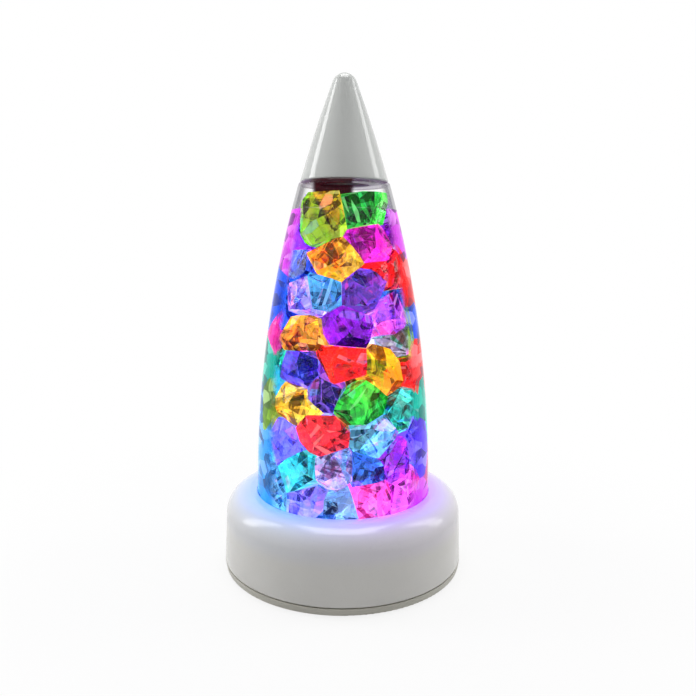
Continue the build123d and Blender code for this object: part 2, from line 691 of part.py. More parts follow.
def make_power_button():
    x = -CONTROL_SPREAD
    button = rod_y(BUTTON_RADIUS, x, z_button, y_flange, y_panel + BUTTON_PROUD)
    face = button.edges().filter_by(GeomType.CIRCLE).sort_by(Axis.Y)[-1]
    button = fillet(face, BUTTON_ROUND)
    button += rod_y(
        BUTTON_RADIUS + BUTTON_FLANGE, x, z_button, y_flange, y_flange + BUTTON_FLANGE_THICKNESS,
    )
    return button + rod_y(BUTTON_STEM_RADIUS, x, z_button, y_switch - STEM_OVERLAP, y_flange)


def make_power_inlet():
    half = INLET_WIDTH / 2
    mouth = y_panel - INLET_SETBACK
    middle_z = z_board_top + INLET_HEIGHT / 2
    x = CONTROL_SPREAD
    body = block(x - half, x + half, mouth - INLET_LENGTH, mouth, z_board_top, z_board_top + INLET_HEIGHT)
    body = fillet(body.edges().filter_by(Axis.Y), INLET_HEIGHT / 3)
    inner_half = half - INLET_SKIN
    inner_rise = INLET_HEIGHT / 2 - INLET_SKIN
    hollow = block(
        x - inner_half, x + inner_half, mouth - INLET_DEPTH, mouth,
        middle_z - inner_rise, middle_z + inner_rise,
    )
    hollow = fillet(hollow.edges().filter_by(Axis.Y), INLET_HEIGHT / 3 - INLET_SKIN)
    tongue = block(
        x - INLET_TONGUE_WIDTH / 2, x + INLET_TONGUE_WIDTH / 2,
        mouth - INLET_DEPTH, mouth - INLET_DEPTH + INLET_TONGUE_LENGTH,
        middle_z - INLET_TONGUE_HEIGHT / 2, middle_z + INLET_TONGUE_HEIGHT / 2,
    )
    return body - hollow + tongue


# Stones

stone_floor = z_flange + STONE_GAP
stone_top = z_shoulder - TANK_WALL - STONE_HEADROOM


def stone_middle(degrees, level, inset):
    """Middle of a stone: degrees from the front, share of the inner height, distance in from the wall."""
    z = stone_floor + level * (stone_top - stone_floor)
    radius = tank_radius(z, TANK_WALL) - inset
    angle = math.radians(degrees)
    return (radius * math.sin(angle), -radius * math.cos(angle), z)


def stone_layout():
    """Middle, angle and colour of every stone: the front ones, like ones at the back, and a core."""
    stones = []
    for degrees, level, depth, colour in FRONT_STONES:
        stones.append((stone_middle(degrees, level, depth * STONE_INSET), degrees, colour))
    for index, (degrees, level, depth, colour) in enumerate(FRONT_STONES):
        if abs(degrees) < SIDE_ANGLE:
            turn = degrees + 180
            place = stone_middle(turn, level + BACK_SHIFT, depth * STONE_INSET)
            pick = (index * BACK_COLOUR_STEP + BACK_COLOUR_START) % len(COLOURS)
            stones.append((place, turn, COLOURS[pick]))
    for index in range(int(CORE_TOP / CORE_STEP)):
        level = CORE_STEP * (index + 0.5)
        z = stone_floor + level * (stone_top - stone_floor)
        inset = tank_radius(z, TANK_WALL) * (1 - CORE_INSET)
        for side in range(CORE_COUNT):
            turn = index * CORE_TURN + side * 360 / CORE_COUNT
            place = stone_middle(turn, level, inset)
            pick = (index * CORE_COUNT + side) * CORE_COLOUR_STEP % len(COLOURS)
            stones.append((place, turn, COLOURS[pick]))
    return stones


def half_space(normal, point, drop):
    """Everything on the near side of a plane that lies so far before a point."""
    length = math.sqrt(sum(part * part for part in normal))
    unit = [part / length for part in normal]
    offset = sum(a * b for a, b in zip(unit, point)) - drop
    return unit + [-offset]


def wall_planes(degrees):
    """Planes inside the tank's wall, floor and shoulder, with a facet square to the given angle."""
    planes = [half_space((0, 0, -1), (0, 0, stone_floor), 0), half_space((0, 0, 1), (0, 0, stone_top), 0)]
    facet = 2 * math.pi / WALL_FACETS
    inside = tank_curve - TANK_WALL
    steepest = math.asin((stone_top - z_crest) / inside)
    step = steepest / (WALL_LEVELS - 1)
    for level in range(WALL_LEVELS):
        lean = step * level
        radius = (tank_curve_x + inside * math.cos(lean)) * math.cos(facet / 2)
        sag = inside * (1 - math.cos(step / 2))
        for index in range(WALL_FACETS):
            angle = math.radians(degrees) + facet * index
            normal = (math.cos(lean) * math.sin(angle), -math.cos(lean) * math.cos(angle), math.sin(lean))
            point = (radius * math.sin(angle), -radius * math.cos(angle), z_crest + inside * math.sin(lean))
            planes.append(half_space(normal, point, STONE_GAP + sag))
    return planes


def chip_planes(corners, middle, directions, depth):
    """Planes that cut so far into a stone from each direction."""
    planes = []
    for direction in directions:
        length = math.sqrt(sum(part * part for part in direction))
        unit = [part / length for part in direction]
        reach = max(sum(a * (b - c) for a, b, c in zip(unit, corner, middle)) for corner in corners)
        point = [c + reach * a for a, c in zip(unit, middle)]
        planes.append(half_space(unit, point, min(depth, reach / 3)))
    return planes


def cut_space(planes, middle):
    """Corners of the space round a middle that all the planes leave."""
    corners = HalfspaceIntersection(numpy.array(planes), numpy.array(middle)).intersections
    return sorted({tuple(round(float(part), 2) for part in corner) for corner in corners})


def make_stone(index, stones, chance):
    """One faceted stone: the space nearest its middle, with its corners chipped off."""
    middle, degrees, colour = stones[index]
    planes = wall_planes(degrees)
    for other, (place, turn, name) in enumerate(stones):
        if other != index:
            away = [b - a for a, b in zip(middle, place)]
            between = [(a + b) / 2 for a, b in zip(middle, place)]
            planes.append(half_space(away, between, STONE_GAP / 2))
    corners = cut_space(planes, middle)
    directions = [[chance.gauss(0, 1) for axis in range(3)] for chip in range(STONE_CHIP_COUNT)]
    planes += chip_planes(corners, middle, directions, STONE_CHIP)
    outward = math.radians(degrees)
    spread = math.tan(math.radians(STONE_FACE_TILT))
    first = chance.uniform(0, 360)
    faces = []
    for turn in STONE_FACE_TURNS:
        aside = spread * math.cos(math.radians(first + turn))
        upward = spread * math.sin(math.radians(first + turn))
        faces.append((
            math.sin(outward) + aside * math.cos(outward),
            -math.cos(outward) + aside * math.sin(outward),
            upward,
        ))
    planes += chip_planes(corners, middle, faces, STONE_FACE_CUT)
    return ConvexPolyhedron(cut_space(planes, middle))


def make_stones():
    """Stones grouped by colour."""
    stones = stone_layout()
    chance = random.Random(STONE_SEED)
    groups = {colour: [] for colour in COLOURS}
    for index, (middle, degrees, colour) in enumerate(stones):
        groups[colour].append(make_stone(index, stones, chance))
    return groups


# Every piece by the name of its node
pieces = {
    "base_shell": make_base_shell(),
    "base_plate": make_base_plate(),
    "plate_screws": make_plate_screws(),
    "rubber_feet": make_rubber_feet(),
    "tank": make_tank(),
    "tank_floor": make_tank_floor(),
    "tank_gasket": make_tank_gasket(),
    "clamp_ring": make_clamp_ring(),
    "clamp_screws": make_clamp_screws(),
    "neck_seal": make_neck_seal(),
    "cap": make_cap(),
    "main_board": make_main_board(),
    "board_screws": make_board_screws(),
    "leds": make_leds(),
    "controller_chip": make_controller_chip(),
    "power_switch": make_power_switch(),
    "power_button": make_power_button(),
    "power_inlet": make_power_inlet(),
    "batteries": make_batteries(),
    "battery_contacts": make_battery_contacts(),
    "battery_door": make_battery_door(),
}
for colour, stones in make_stones().items():
    pieces["gems_" + colour] = stones

os.makedirs("parts", exist_ok=True)
for name, piece in pieces.items():
    if isinstance(piece, list):
        piece = Compound([solid for group in piece for solid in group.solids()])
    export_step(piece, os.path.join("parts", name + ".step"))
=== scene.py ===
"""Looks of a sensory lamp: a clear tank of coloured stones in water, with a lit base and a pointed cap."""

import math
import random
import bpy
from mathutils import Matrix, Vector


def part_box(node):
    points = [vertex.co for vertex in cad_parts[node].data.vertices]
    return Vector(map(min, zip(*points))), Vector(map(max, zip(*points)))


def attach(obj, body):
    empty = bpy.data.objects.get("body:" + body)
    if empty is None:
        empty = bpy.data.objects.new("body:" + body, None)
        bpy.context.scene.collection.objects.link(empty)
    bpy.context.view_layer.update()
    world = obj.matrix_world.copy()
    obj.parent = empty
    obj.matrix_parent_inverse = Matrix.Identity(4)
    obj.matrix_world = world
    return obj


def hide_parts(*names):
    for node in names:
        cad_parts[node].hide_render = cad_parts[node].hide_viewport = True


bl_info = {
    "name": "Sensory Lamp Looks",
    "version": (1, 0, 0),
    "blender": (4, 5, 0),
    "location": "View3D > Sidebar > Lamp",
    "description": "Dresses the sensory lamp's solids with its plastics, clear tank, water and stones",
    "category": "Object",
}

import bmesh
import bpy
from bpy.props import FloatProperty, FloatVectorProperty, IntProperty, PointerProperty
from bpy.types import Operator, Panel, PropertyGroup
from mathutils import Matrix, Vector

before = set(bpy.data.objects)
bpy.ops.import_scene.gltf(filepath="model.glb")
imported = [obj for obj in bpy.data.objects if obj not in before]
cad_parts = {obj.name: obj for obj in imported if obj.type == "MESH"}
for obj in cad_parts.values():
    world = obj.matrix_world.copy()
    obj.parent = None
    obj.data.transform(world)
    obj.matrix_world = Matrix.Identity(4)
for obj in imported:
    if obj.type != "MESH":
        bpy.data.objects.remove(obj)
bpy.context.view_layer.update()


def node_low(node):
    """Lowest corner of a node's box."""
    return Vector(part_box(node)[0])


def node_high(node):
    """Highest corner of a node's box."""
    return Vector(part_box(node)[1])


# Places on the lamp, in metres
CREST_Z = node_high("base_shell").z
SHOULDER_Z = node_low("cap").z
FLOOR_Z = node_high("tank_floor").z
FOOT_PAST_FLOOR = 0.0004  # the tank's foot stands out past its floor
TANK_FOOT = node_high("tank_floor").x + FOOT_PAST_FLOOR


class LampSizes(PropertyGroup):
    """Sizes that the looks add to the solids."""

    tank_top: FloatProperty(
        name="Tank top", description="Radius of the tank at its shoulder", default=0.0233, unit="LENGTH")
    tank_wall: FloatProperty(
        name="Tank wall", description="Thickness of the tank's wall", default=0.0014, unit="LENGTH")
    water_gap: FloatProperty(
        name="Water gap", description="Space left between the water's skin and the tank's wall",
        default=0.00008, unit="LENGTH")
    water_level: FloatProperty(
        name="Water level", description="Height of the water's surface", default=0.189, unit="LENGTH")
    meniscus: FloatProperty(
        name="Meniscus", description="How far the water creeps up the wall", default=0.0011, unit="LENGTH")
    turn_steps: IntProperty(
        name="Turn steps", description="Steps round the water's body", default=128, min=24)
    side_steps: IntProperty(
        name="Side steps", description="Steps up the water's side", default=32, min=8)
    stone_edge: FloatProperty(
        name="Stone edge", description="Width of the worn edge between two facets", default=0.00028,
        unit="LENGTH")
    glow_reach: FloatProperty(
        name="Glow reach", description="How far the glow spreads over the base from the tank",
        default=0.024, unit="LENGTH")
    glow_height: FloatProperty(
        name="Glow height", description="How far up the stones the light of the base is strong",
        default=0.085, unit="LENGTH")


class LampColours(PropertyGroup):
    """Colours of the plastics, the metals and the light."""

    shell: FloatVectorProperty(
        name="Shell", description="Base shell plastic", subtype="COLOR", size=3, default=(0.72, 0.71, 0.68))
    cap: FloatVectorProperty(
        name="Cap", description="Cap plastic", subtype="COLOR", size=3, default=(0.67, 0.69, 0.67))
    plate: FloatVectorProperty(
        name="Plate", description="Base plate plastic", subtype="COLOR", size=3,
        default=(0.57, 0.555, 0.49))
    inner: FloatVectorProperty(
        name="Inner parts", description="Plain white inner mouldings", subtype="COLOR", size=3,
        default=(0.62, 0.62, 0.60))
    button: FloatVectorProperty(
        name="Button", description="Power button plastic", subtype="COLOR", size=3,
        default=(0.27, 0.28, 0.29))
    rubber: FloatVectorProperty(
        name="Rubber", description="Rubber feet", subtype="COLOR", size=3, default=(0.025, 0.025, 0.026))
    seal: FloatVectorProperty(
        name="Seal", description="Milky silicone seals", subtype="COLOR", size=3,
        default=(0.55, 0.55, 0.53))
    chip: FloatVectorProperty(
        name="Chip", description="Moulded black parts", subtype="COLOR", size=3,
        default=(0.018, 0.018, 0.02))
    board: FloatVectorProperty(
        name="Board", description="White mask of the light board", subtype="COLOR", size=3,
        default=(0.66, 0.69, 0.66))
    sleeve: FloatVectorProperty(
        name="Cell sleeve", description="Plain sleeve of the cells", subtype="COLOR", size=3,
        default=(0.03, 0.035, 0.045))
    steel: FloatVectorProperty(
        name="Steel", description="Plated screws", subtype="COLOR", size=3, default=(0.55, 0.55, 0.57))
    nickel: FloatVectorProperty(
        name="Nickel", description="Contacts and inlet", subtype="COLOR", size=3,
        default=(0.60, 0.57, 0.52))
    # Painted light: colours of the glow painted on the base and into the stones
    glow_left: FloatVectorProperty(
        name="Glow left", description="Light on the left of the base", subtype="COLOR", size=3,
        default=(0.16, 0.38, 1.0))
    glow_right: FloatVectorProperty(
        name="Glow right", description="Light on the right of the base", subtype="COLOR", size=3,
        default=(0.38, 0.22, 1.0))
    lamp_left: FloatVectorProperty(
        name="Stone light left", description="Light of the base in the lower left stones",
        subtype="COLOR", size=3, default=(0.24, 0.55, 1.0))
    lamp_right: FloatVectorProperty(
        name="Stone light right", description="Light of the base in the lower right stones",
        subtype="COLOR", size=3, default=(0.66, 0.18, 1.0))
    led: FloatVectorProperty(
        name="Lights", description="Lenses of the lit lights", subtype="COLOR", size=3,
        default=(0.55, 0.45, 1.0))


class LampStones(PropertyGroup):
    """Bright colour of each kind of stone."""

    red: FloatVectorProperty(
        name="Red", description="Red stones", subtype="COLOR", size=3, default=(1.0, 0.025, 0.02))
    amber: FloatVectorProperty(
        name="Amber", description="Amber stones", subtype="COLOR", size=3, default=(1.0, 0.55, 0.03))
    lime: FloatVectorProperty(
        name="Lime", description="Lime stones", subtype="COLOR", size=3, default=(0.37, 0.62, 0.02))
    green: FloatVectorProperty(
        name="Green", description="Green stones", subtype="COLOR", size=3, default=(0.04, 0.82, 0.07))
    teal: FloatVectorProperty(
        name="Teal", description="Teal stones", subtype="COLOR", size=3, default=(0.03, 0.66, 0.55))
    sky: FloatVectorProperty(
        name="Sky", description="Sky blue stones", subtype="COLOR", size=3, default=(0.12, 0.52, 1.0))
    blue: FloatVectorProperty(
        name="Blue", description="Deep blue stones", subtype="COLOR", size=3, default=(0.02, 0.20, 1.0))
    violet: FloatVectorProperty(
        name="Violet", description="Violet stones", subtype="COLOR", size=3, default=(0.22, 0.11, 1.0))
    purple: FloatVectorProperty(
        name="Purple", description="Purple stones", subtype="COLOR", size=3, default=(0.42, 0.03, 0.85))
    magenta: FloatVectorProperty(
        name="Magenta", description="Magenta stones", subtype="COLOR", size=3, default=(1.0, 0.05, 0.56))
    pink: FloatVectorProperty(
        name="Pink", description="Pink stones", subtype="COLOR", size=3, default=(0.78, 0.15, 0.86))
    clear: FloatVectorProperty(
        name="Clear", description="Clear stones", subtype="COLOR", size=3, default=(0.62, 0.50, 1.0))


# Shader helpers

def new_material(name):
    """Empty material and its node tree."""
    material = bpy.data.materials.new(name)
    material.use_nodes = True
    material.node_tree.nodes.clear()
    return material, material.node_tree


def add_node(tree, kind, **inputs):
    """Shader node with some of its inputs set, by name."""
    node = tree.nodes.new(kind)
    for name, value in inputs.items():
        node.inputs[name.replace("_", " ")].default_value = value
    return node


def feed(tree, shader, **sockets):
    """Links sockets to a shader's inputs, by name."""
    for name, socket in sockets.items():
        tree.links.new(socket, shader.inputs[name.replace("_", " ")])


def add_math(tree, operation, first, *others):
    """Maths on numbers or sockets, taken one after another."""
    for other in others or (None,):
        node = tree.nodes.new("ShaderNodeMath")
        node.operation = operation
        for index, value in enumerate((first, other)):
            if isinstance(value, bpy.types.NodeSocket):
                tree.links.new(value, node.inputs[index])
            elif value is not None:
                node.inputs[index].default_value = value
        first = node.outputs[0]
    return first


def add_ramp(tree, value, low, high, out_low=0.0, out_high=1.0):
    """Smooth step of a value between two limits."""
    node = tree.nodes.new("ShaderNodeMapRange")
    node.interpolation_type = "SMOOTHSTEP"
    tree.links.new(value, node.inputs["Value"])
    node.inputs["From Min"].default_value = low
    node.inputs["From Max"].default_value = high
    node.inputs["To Min"].default_value = out_low
    node.inputs["To Max"].default_value = out_high
    return node.outputs["Result"]


def fade(tree, value, low, high):
    """Smooth step down, from 1 to 0."""
    return add_ramp(tree, value, low, high, out_low=1.0, out_high=0.0)


def height_band(tree, z, level, rises, falls):
    """1 in a band of height, with soft ends given as distances from a level."""
    above = add_ramp(tree, z, level + rises[0], level + rises[1])
    return add_math(tree, "MULTIPLY", above, fade(tree, z, level + falls[0], level + falls[1]))


def add_mix(tree, share, first, second):
    """Mix of two colours, each a colour or a socket."""
    node = tree.nodes.new("ShaderNodeMix")
    node.data_type = "RGBA"
    tree.links.new(share, node.inputs["Factor"])
    for index, value in ((6, first), (7, second)):  # the sockets A and B for colours
        if isinstance(value, bpy.types.NodeSocket):
            tree.links.new(value, node.inputs[index])
        else:
            node.inputs[index].default_value = (*value, 1)
    return node.outputs[2]


def mix_shaders(tree, share, first, second):
    """Mix of two shaders."""
    mix = tree.nodes.new("ShaderNodeMixShader")
    tree.links.new(share, mix.inputs[0])
    tree.links.new(first.outputs[0], mix.inputs[1])
    tree.links.new(second.outputs[0], mix.inputs[2])
    return mix


def object_place(tree):
    """Place on the piece, in metres."""
    return tree.nodes.new("ShaderNodeTexCoord").outputs["Object"]


def split_place(tree, place):
    """X, Y and Z of a place."""
    split = tree.nodes.new("ShaderNodeSeparateXYZ")
    tree.links.new(place, split.inputs[0])
    return split.outputs


def add_noise(tree, scale, detail=2.0):
    """Cloudy pattern over the piece."""
    node = add_node(tree, "ShaderNodeTexNoise", Scale=scale, Detail=detail)
    feed(tree, node, Vector=object_place(tree))
    return node.outputs["Fac"]


def add_cells(tree, place, scale, stretch, flat=False):
    """Pattern of angular cells, longer along the axes with a small stretch."""
    mapping = add_node(tree, "ShaderNodeMapping", Scale=stretch)
    feed(tree, mapping, Vector=place)
    cells = add_node(tree, "ShaderNodeTexVoronoi", Scale=scale)
    cells.voronoi_dimensions = "2D" if flat else "3D"
    feed(tree, cells, Vector=mapping.outputs[0])
    return cells


def cell_values(tree, cells):
    """Three random values of each cell."""
    split = tree.nodes.new("ShaderNodeSeparateColor")
    tree.links.new(cells.outputs["Color"], split.inputs[0])
    return split.outputs


def from_axis(tree, x, y):
    """Distance from the lamp's axis."""
    squares = add_math(tree, "ADD", add_math(tree, "MULTIPLY", x, x), add_math(tree, "MULTIPLY", y, y))
    return add_math(tree, "SQRT", squares)


def add_bump(tree, shader, height, strength, distance):
    """Fine relief on a shader."""
    node = add_node(tree, "ShaderNodeBump", Strength=strength, Distance=distance)
    feed(tree, node, Height=height)
    feed(tree, shader, Normal=node.outputs["Normal"])


def wander_gloss(tree, shader, noise, smooth, rough):
    """Roughness that wanders between two values."""
    feed(tree, shader, Roughness=add_ramp(tree, noise, *NOISE_BODY, smooth, rough))


def facing_share(tree, start, full, most):
    """Share that grows as a surface turns from face on to edge on."""
    facing = tree.nodes.new("ShaderNodeLayerWeight").outputs["Facing"]
    return add_ramp(tree, facing, start, full, out_high=most)


def finish_material(tree, shader):
    """Material output fed by a shader."""
    out = tree.nodes.new("ShaderNodeOutputMaterial")
    feed(tree, out, Surface=shader.outputs[0])


def scaled(colour, share):
    """Colour scaled by a share."""
    return tuple(part * share for part in colour)


# Finishes: scales in cells to a metre, places and reliefs in metres

PLASTIC_IOR = 1.49
WATER_IOR = 1.33
STONE_IOR = 1.25  # less than in air, as the stones lie in water
BLACK = (0.0, 0.0, 0.0)
NOISE_BODY = (0.3, 0.7)  # most values of a noise pattern lie between these
MOTTLE_SCALE = 55.0
GLOSS_SCALE = 420.0
GRAIN_SCALE = 2600.0
GRAIN_RELIEF = 0.00002


def moulded_plastic(name, colour, roughness, grain=GRAIN_SCALE, relief=GRAIN_RELIEF):
    """Moulded plastic with a faint mottle, a fine grain and uneven gloss."""
    material, tree = new_material(name)
    shader = add_node(tree, "ShaderNodeBsdfPrincipled", IOR=PLASTIC_IOR)
    mottle = add_noise(tree, MOTTLE_SCALE, detail=4.0)
    feed(tree, shader, Base_Color=add_mix(tree, mottle, scaled(colour, 0.93), scaled(colour, 1.04)))
    gloss = add_noise(tree, GLOSS_SCALE)
    wander_gloss(tree, shader, gloss, smooth=roughness * 0.8, rough=roughness * 1.25)
    add_bump(tree, shader, add_noise(tree, grain, detail=3.0), strength=0.35, distance=relief)
    finish_material(tree, shader)
    return material


# Painted light: a glow on the shell near the tank, standing in for the light that spills out of it
GLOW_STRENGTH = 0.6
GLOW_PAINT_SHARE = 0.8  # share of the painted glow that is also painted into the plastic's colour
GLOW_ENDS = CREST_Z - 0.020  # heights
GLOW_FULL = CREST_Z - 0.012
GLOW_FRONT = -0.045  # full from here forwards, and a share of it behind the middle
GLOW_BACK_SHARE = 0.5
GLOW_LEFT = -0.040  # where its two colours are pure
GLOW_RIGHT = 0.030
SPECK_SCALE = 1500.0


def glowing_shell_plastic(colours, sizes):
    """Glossy white plastic, with the light that spills out of the tank painted onto it near the tank, as
    glow and as painted light and shade in its colour.
    """
    material, tree = new_material("shell_plastic")
    shader = add_node(
        tree, "ShaderNodeBsdfPrincipled", IOR=PLASTIC_IOR, Emission_Strength=GLOW_STRENGTH)
    x, y, z = split_place(tree, object_place(tree))
    near = fade(tree, from_axis(tree, x, y), TANK_FOOT, TANK_FOOT + sizes.glow_reach)
    front = add_ramp(tree, y, GLOW_FRONT, 0.0, out_low=1.0, out_high=GLOW_BACK_SHARE)
    raised = add_ramp(tree, z, GLOW_ENDS, GLOW_FULL)
    share = add_math(tree, "MULTIPLY", near, near, front, raised)
    side = add_ramp(tree, x, GLOW_LEFT, GLOW_RIGHT)
    light = add_mix(tree, side, colours.glow_left, colours.glow_right)
    mottle = add_noise(tree, MOTTLE_SCALE, detail=4.0)
    plain = add_mix(tree, mottle, scaled(colours.shell, 0.94), scaled(colours.shell, 1.03))
    speck = add_ramp(tree, add_noise(tree, SPECK_SCALE), low=0.62, high=0.72, out_high=0.10)
    speckled = add_mix(tree, speck, plain, scaled(colours.shell, 0.5))
    # Painted light and shade: near the tank the plastic's colour turns to the glow's colour
    glow_painted_colour = add_mix(tree, add_math(tree, "MULTIPLY", share, GLOW_PAINT_SHARE), speckled, light)
    feed(tree, shader, Base_Color=glow_painted_colour, Emission_Color=add_mix(tree, share, BLACK, light))
    wander_gloss(tree, shader, add_noise(tree, GLOSS_SCALE), smooth=0.19, rough=0.22)
    add_bump(tree, shader, add_noise(tree, GRAIN_SCALE, detail=3.0), strength=0.3, distance=GRAIN_RELIEF)
    finish_material(tree, shader)
    return material


TARNISH_SCALE = 240.0
SCUFF_SCALE = 1800.0
PIT_SCALE = 3800.0
PIT_RELIEF = 0.00001


def plated_metal(name, colour, roughness):
    """Plated metal, a little tarnished, scuffed and pitted."""
    material, tree = new_material(name)
    shader = add_node(tree, "ShaderNodeBsdfPrincipled", Metallic=1.0)
    tarnish = add_noise(tree, TARNISH_SCALE, detail=5.0)
    feed(tree, shader, Base_Color=add_mix(tree, tarnish, scaled(colour, 0.82), colour))
    scuffs = add_noise(tree, SCUFF_SCALE, detail=4.0)
    wander_gloss(tree, shader, scuffs, smooth=roughness * 0.7, rough=roughness * 1.4)
    add_bump(tree, shader, add_noise(tree, PIT_SCALE), strength=0.2, distance=PIT_RELIEF)
    finish_material(tree, shader)
    return material


BLOOM_SCALE = 160.0
RUBBER_GLOSS_SCALE = 700.0
RUBBER_GRAIN_SCALE = 2200.0
RUBBER_RELIEF = 0.00004


def soft_rubber(name, colour, roughness):
    """Rubber with a dusty bloom."""
    material, tree = new_material(name)
    shader = add_node(tree, "ShaderNodeBsdfPrincipled", Specular_IOR_Level=0.3)
    bloom = add_ramp(tree, add_noise(tree, BLOOM_SCALE, detail=5.0), low=0.45, high=0.75, out_high=0.35)
    feed(tree, shader, Base_Color=add_mix(tree, bloom, colour, scaled(colour, 1.9)))
    gloss = add_noise(tree, RUBBER_GLOSS_SCALE)
    wander_gloss(tree, shader, gloss, smooth=roughness * 0.9, rough=roughness * 1.1)
    grain = add_noise(tree, RUBBER_GRAIN_SCALE, detail=4.0)
    add_bump(tree, shader, grain, strength=0.5, distance=RUBBER_RELIEF)
    finish_material(tree, shader)
    return material


TRACK_SCALE = 90.0
TRACK_WIDTH = 0.05
TRACK_RELIEF = 0.00003


def board_mask(colours):
    """White mask with the tracks showing faintly through it."""
    material, tree = new_material("board_mask")
    shader = add_node(tree, "ShaderNodeBsdfPrincipled", Roughness=0.42)
    tracks = add_node(
        tree, "ShaderNodeTexBrick", Scale=TRACK_SCALE, Mortar_Size=TRACK_WIDTH,
        Color1=(*colours.board, 1), Color2=(*scaled(colours.board, 0.97), 1),
        Mortar=(*scaled(colours.board, 0.78), 1))
    feed(tree, tracks, Vector=object_place(tree))
    feed(tree, shader, Base_Color=tracks.outputs["Color"])
    add_bump(tree, shader, tracks.outputs["Fac"], strength=0.3, distance=TRACK_RELIEF)
    finish_material(tree, shader)
    return material


LENS_MILK = (0.85, 0.85, 0.88, 1)
LENS_STRENGTH = 2.0
LENS_SCALE = 900.0


def lit_lens(colours):
    """Milky lens of a light that is on."""
    material, tree = new_material("lit_lens")
    shader = add_node(
        tree, "ShaderNodeBsdfPrincipled", Roughness=0.3, Base_Color=LENS_MILK,
        Emission_Strength=LENS_STRENGTH)
    pale = tuple(part * 0.5 + 0.5 for part in colours.led)
    feed(tree, shader, Emission_Color=add_mix(tree, add_noise(tree, LENS_SCALE), colours.led, pale))
    finish_material(tree, shader)
    return material


SLEEVE_STOPS = 0.0027  # both from the cell's end
METAL_STARTS = 0.0025
SLEEVE_SPECK_SCALE = 300.0
SLEEVE_GLOSS_SCALE = 500.0


def cell_sleeve(colours):
    """Plain cell: a dark glossy sleeve between bare metal ends."""
    material, tree = new_material("cell_sleeve")
    shader = tree.nodes.new("ShaderNodeBsdfPrincipled")
    along = add_math(tree, "ABSOLUTE", split_place(tree, object_place(tree))[0])
    end = node_high("batteries").x
    bare = add_ramp(tree, along, end - SLEEVE_STOPS, end - METAL_STARTS)
    specks = add_noise(tree, SLEEVE_SPECK_SCALE, detail=4.0)
    speckled = add_mix(tree, specks, colours.sleeve, scaled(colours.sleeve, 1.6))
    feed(tree, shader, Base_Color=add_mix(tree, bare, speckled, colours.nickel), Metallic=bare)
    wander_gloss(tree, shader, add_noise(tree, SLEEVE_GLOSS_SCALE), smooth=0.2, rough=0.34)
    finish_material(tree, shader)
    return material


# Painted bands of stone colour up the sides of the tank, standing in for the stones seen through its edges:
# share of the water's height, and colour from there up
LEFT_RIM = (
    (0.00, "sky"), (0.33, "lime"), (0.39, "teal"), (0.52, "magenta"), (0.59, "blue"), (0.80, "pink"),
)
RIGHT_RIM = (
    (0.00, "pink"), (0.10, "magenta"), (0.18, "violet"), (0.27, "teal"), (0.40, "red"), (0.53, "lime"),
    (0.61, "blue"), (0.71, "red"), (0.84, "pink"),
)
RIM_DEPTH = 1.5  # power that deepens a stone's colour
RIM_SEAM = 0.002  # left and right meet within this of the middle
RIM_CELL_SCALE = 70.0
RIM_CELL_STRETCH = 0.8
RIM_SHADE_SCALE = 120.0
RIM_SHADE_STRETCH = 1.6
RIM_PLAIN = 0.35  # cells with a lower value get a painted highlight, and those with a higher one painted shade
RIM_PAINTED_HIGHLIGHT = (0.9, 0.9, 1.0)
RIM_PAINTED_SHADE = (0.01, 0.01, 0.05)
# strength of the painted glow of the rim colours
RIM_PAINTED_GLOW = 0.42


def rim_colours(tree, level, bands, stones):
    """Painted bands of stone colour up one side of the tank."""
    node = tree.nodes.new("ShaderNodeValToRGB")
    node.color_ramp.interpolation = "CONSTANT"
    stops = node.color_ramp.elements
    for index, (place, name) in enumerate(bands):
        stop = stops[index] if index < len(stops) else stops.new(place)
        stop.position = place
        stop.color = (*(part ** RIM_DEPTH for part in getattr(stones, name)), 1)
    feed(tree, node, Fac=level)
    return node.outputs["Color"]


def painted_rim_view(tree, stones, sizes):
    """Painted view of the stones through the clear parts round their edges, in stone-sized cells, with
    painted highlights and painted shade.
    """
    place = object_place(tree)
    cells = add_cells(tree, place, RIM_CELL_SCALE, (1.0, 1.0, RIM_CELL_STRETCH))
    x, _, z = split_place(tree, cells.outputs["Position"])
    risen = add_math(tree, "SUBTRACT", add_math(tree, "DIVIDE", z, RIM_CELL_STRETCH), FLOOR_Z)
    level = add_math(tree, "DIVIDE", risen, sizes.water_level - FLOOR_Z)
    left = rim_colours(tree, level, LEFT_RIM, stones)
    right = rim_colours(tree, level, RIGHT_RIM, stones)
    bands = add_mix(tree, add_ramp(tree, x, -RIM_SEAM, RIM_SEAM), left, right)
    shades = add_cells(tree, place, RIM_SHADE_SCALE, (1.0, 1.0, RIM_SHADE_STRETCH))
    shade = cell_values(tree, shades)[0]
    # Painted highlights on the paler cells, painted shade on the darker ones
    pale = add_ramp(tree, shade, 0.0, RIM_PLAIN, out_low=0.22, out_high=0.0)
    painted_shade = add_ramp(tree, shade, RIM_PLAIN, 1.0, out_high=0.75)
    return add_mix(tree, painted_shade, add_mix(tree, pale, bands, RIM_PAINTED_HIGHLIGHT), RIM_PAINTED_SHADE)


def see_through(tree, skin, share):
    """Skin that covers a share of what lies behind it."""
    clear = tree.nodes.new("ShaderNodeBsdfTransparent")
    finish_material(tree, mix_shaders(tree, share, clear, skin))


# painted shade at the edges of the dry wall above the water
DRY_EDGE_PAINTED_SHADE = (0.10, 0.10, 0.12)
DRY_EDGE_SHARE = 0.35
WATERLINE = 0.0002  # wet turns dry within this of the water's level
FLOW_SCALE = 30.0
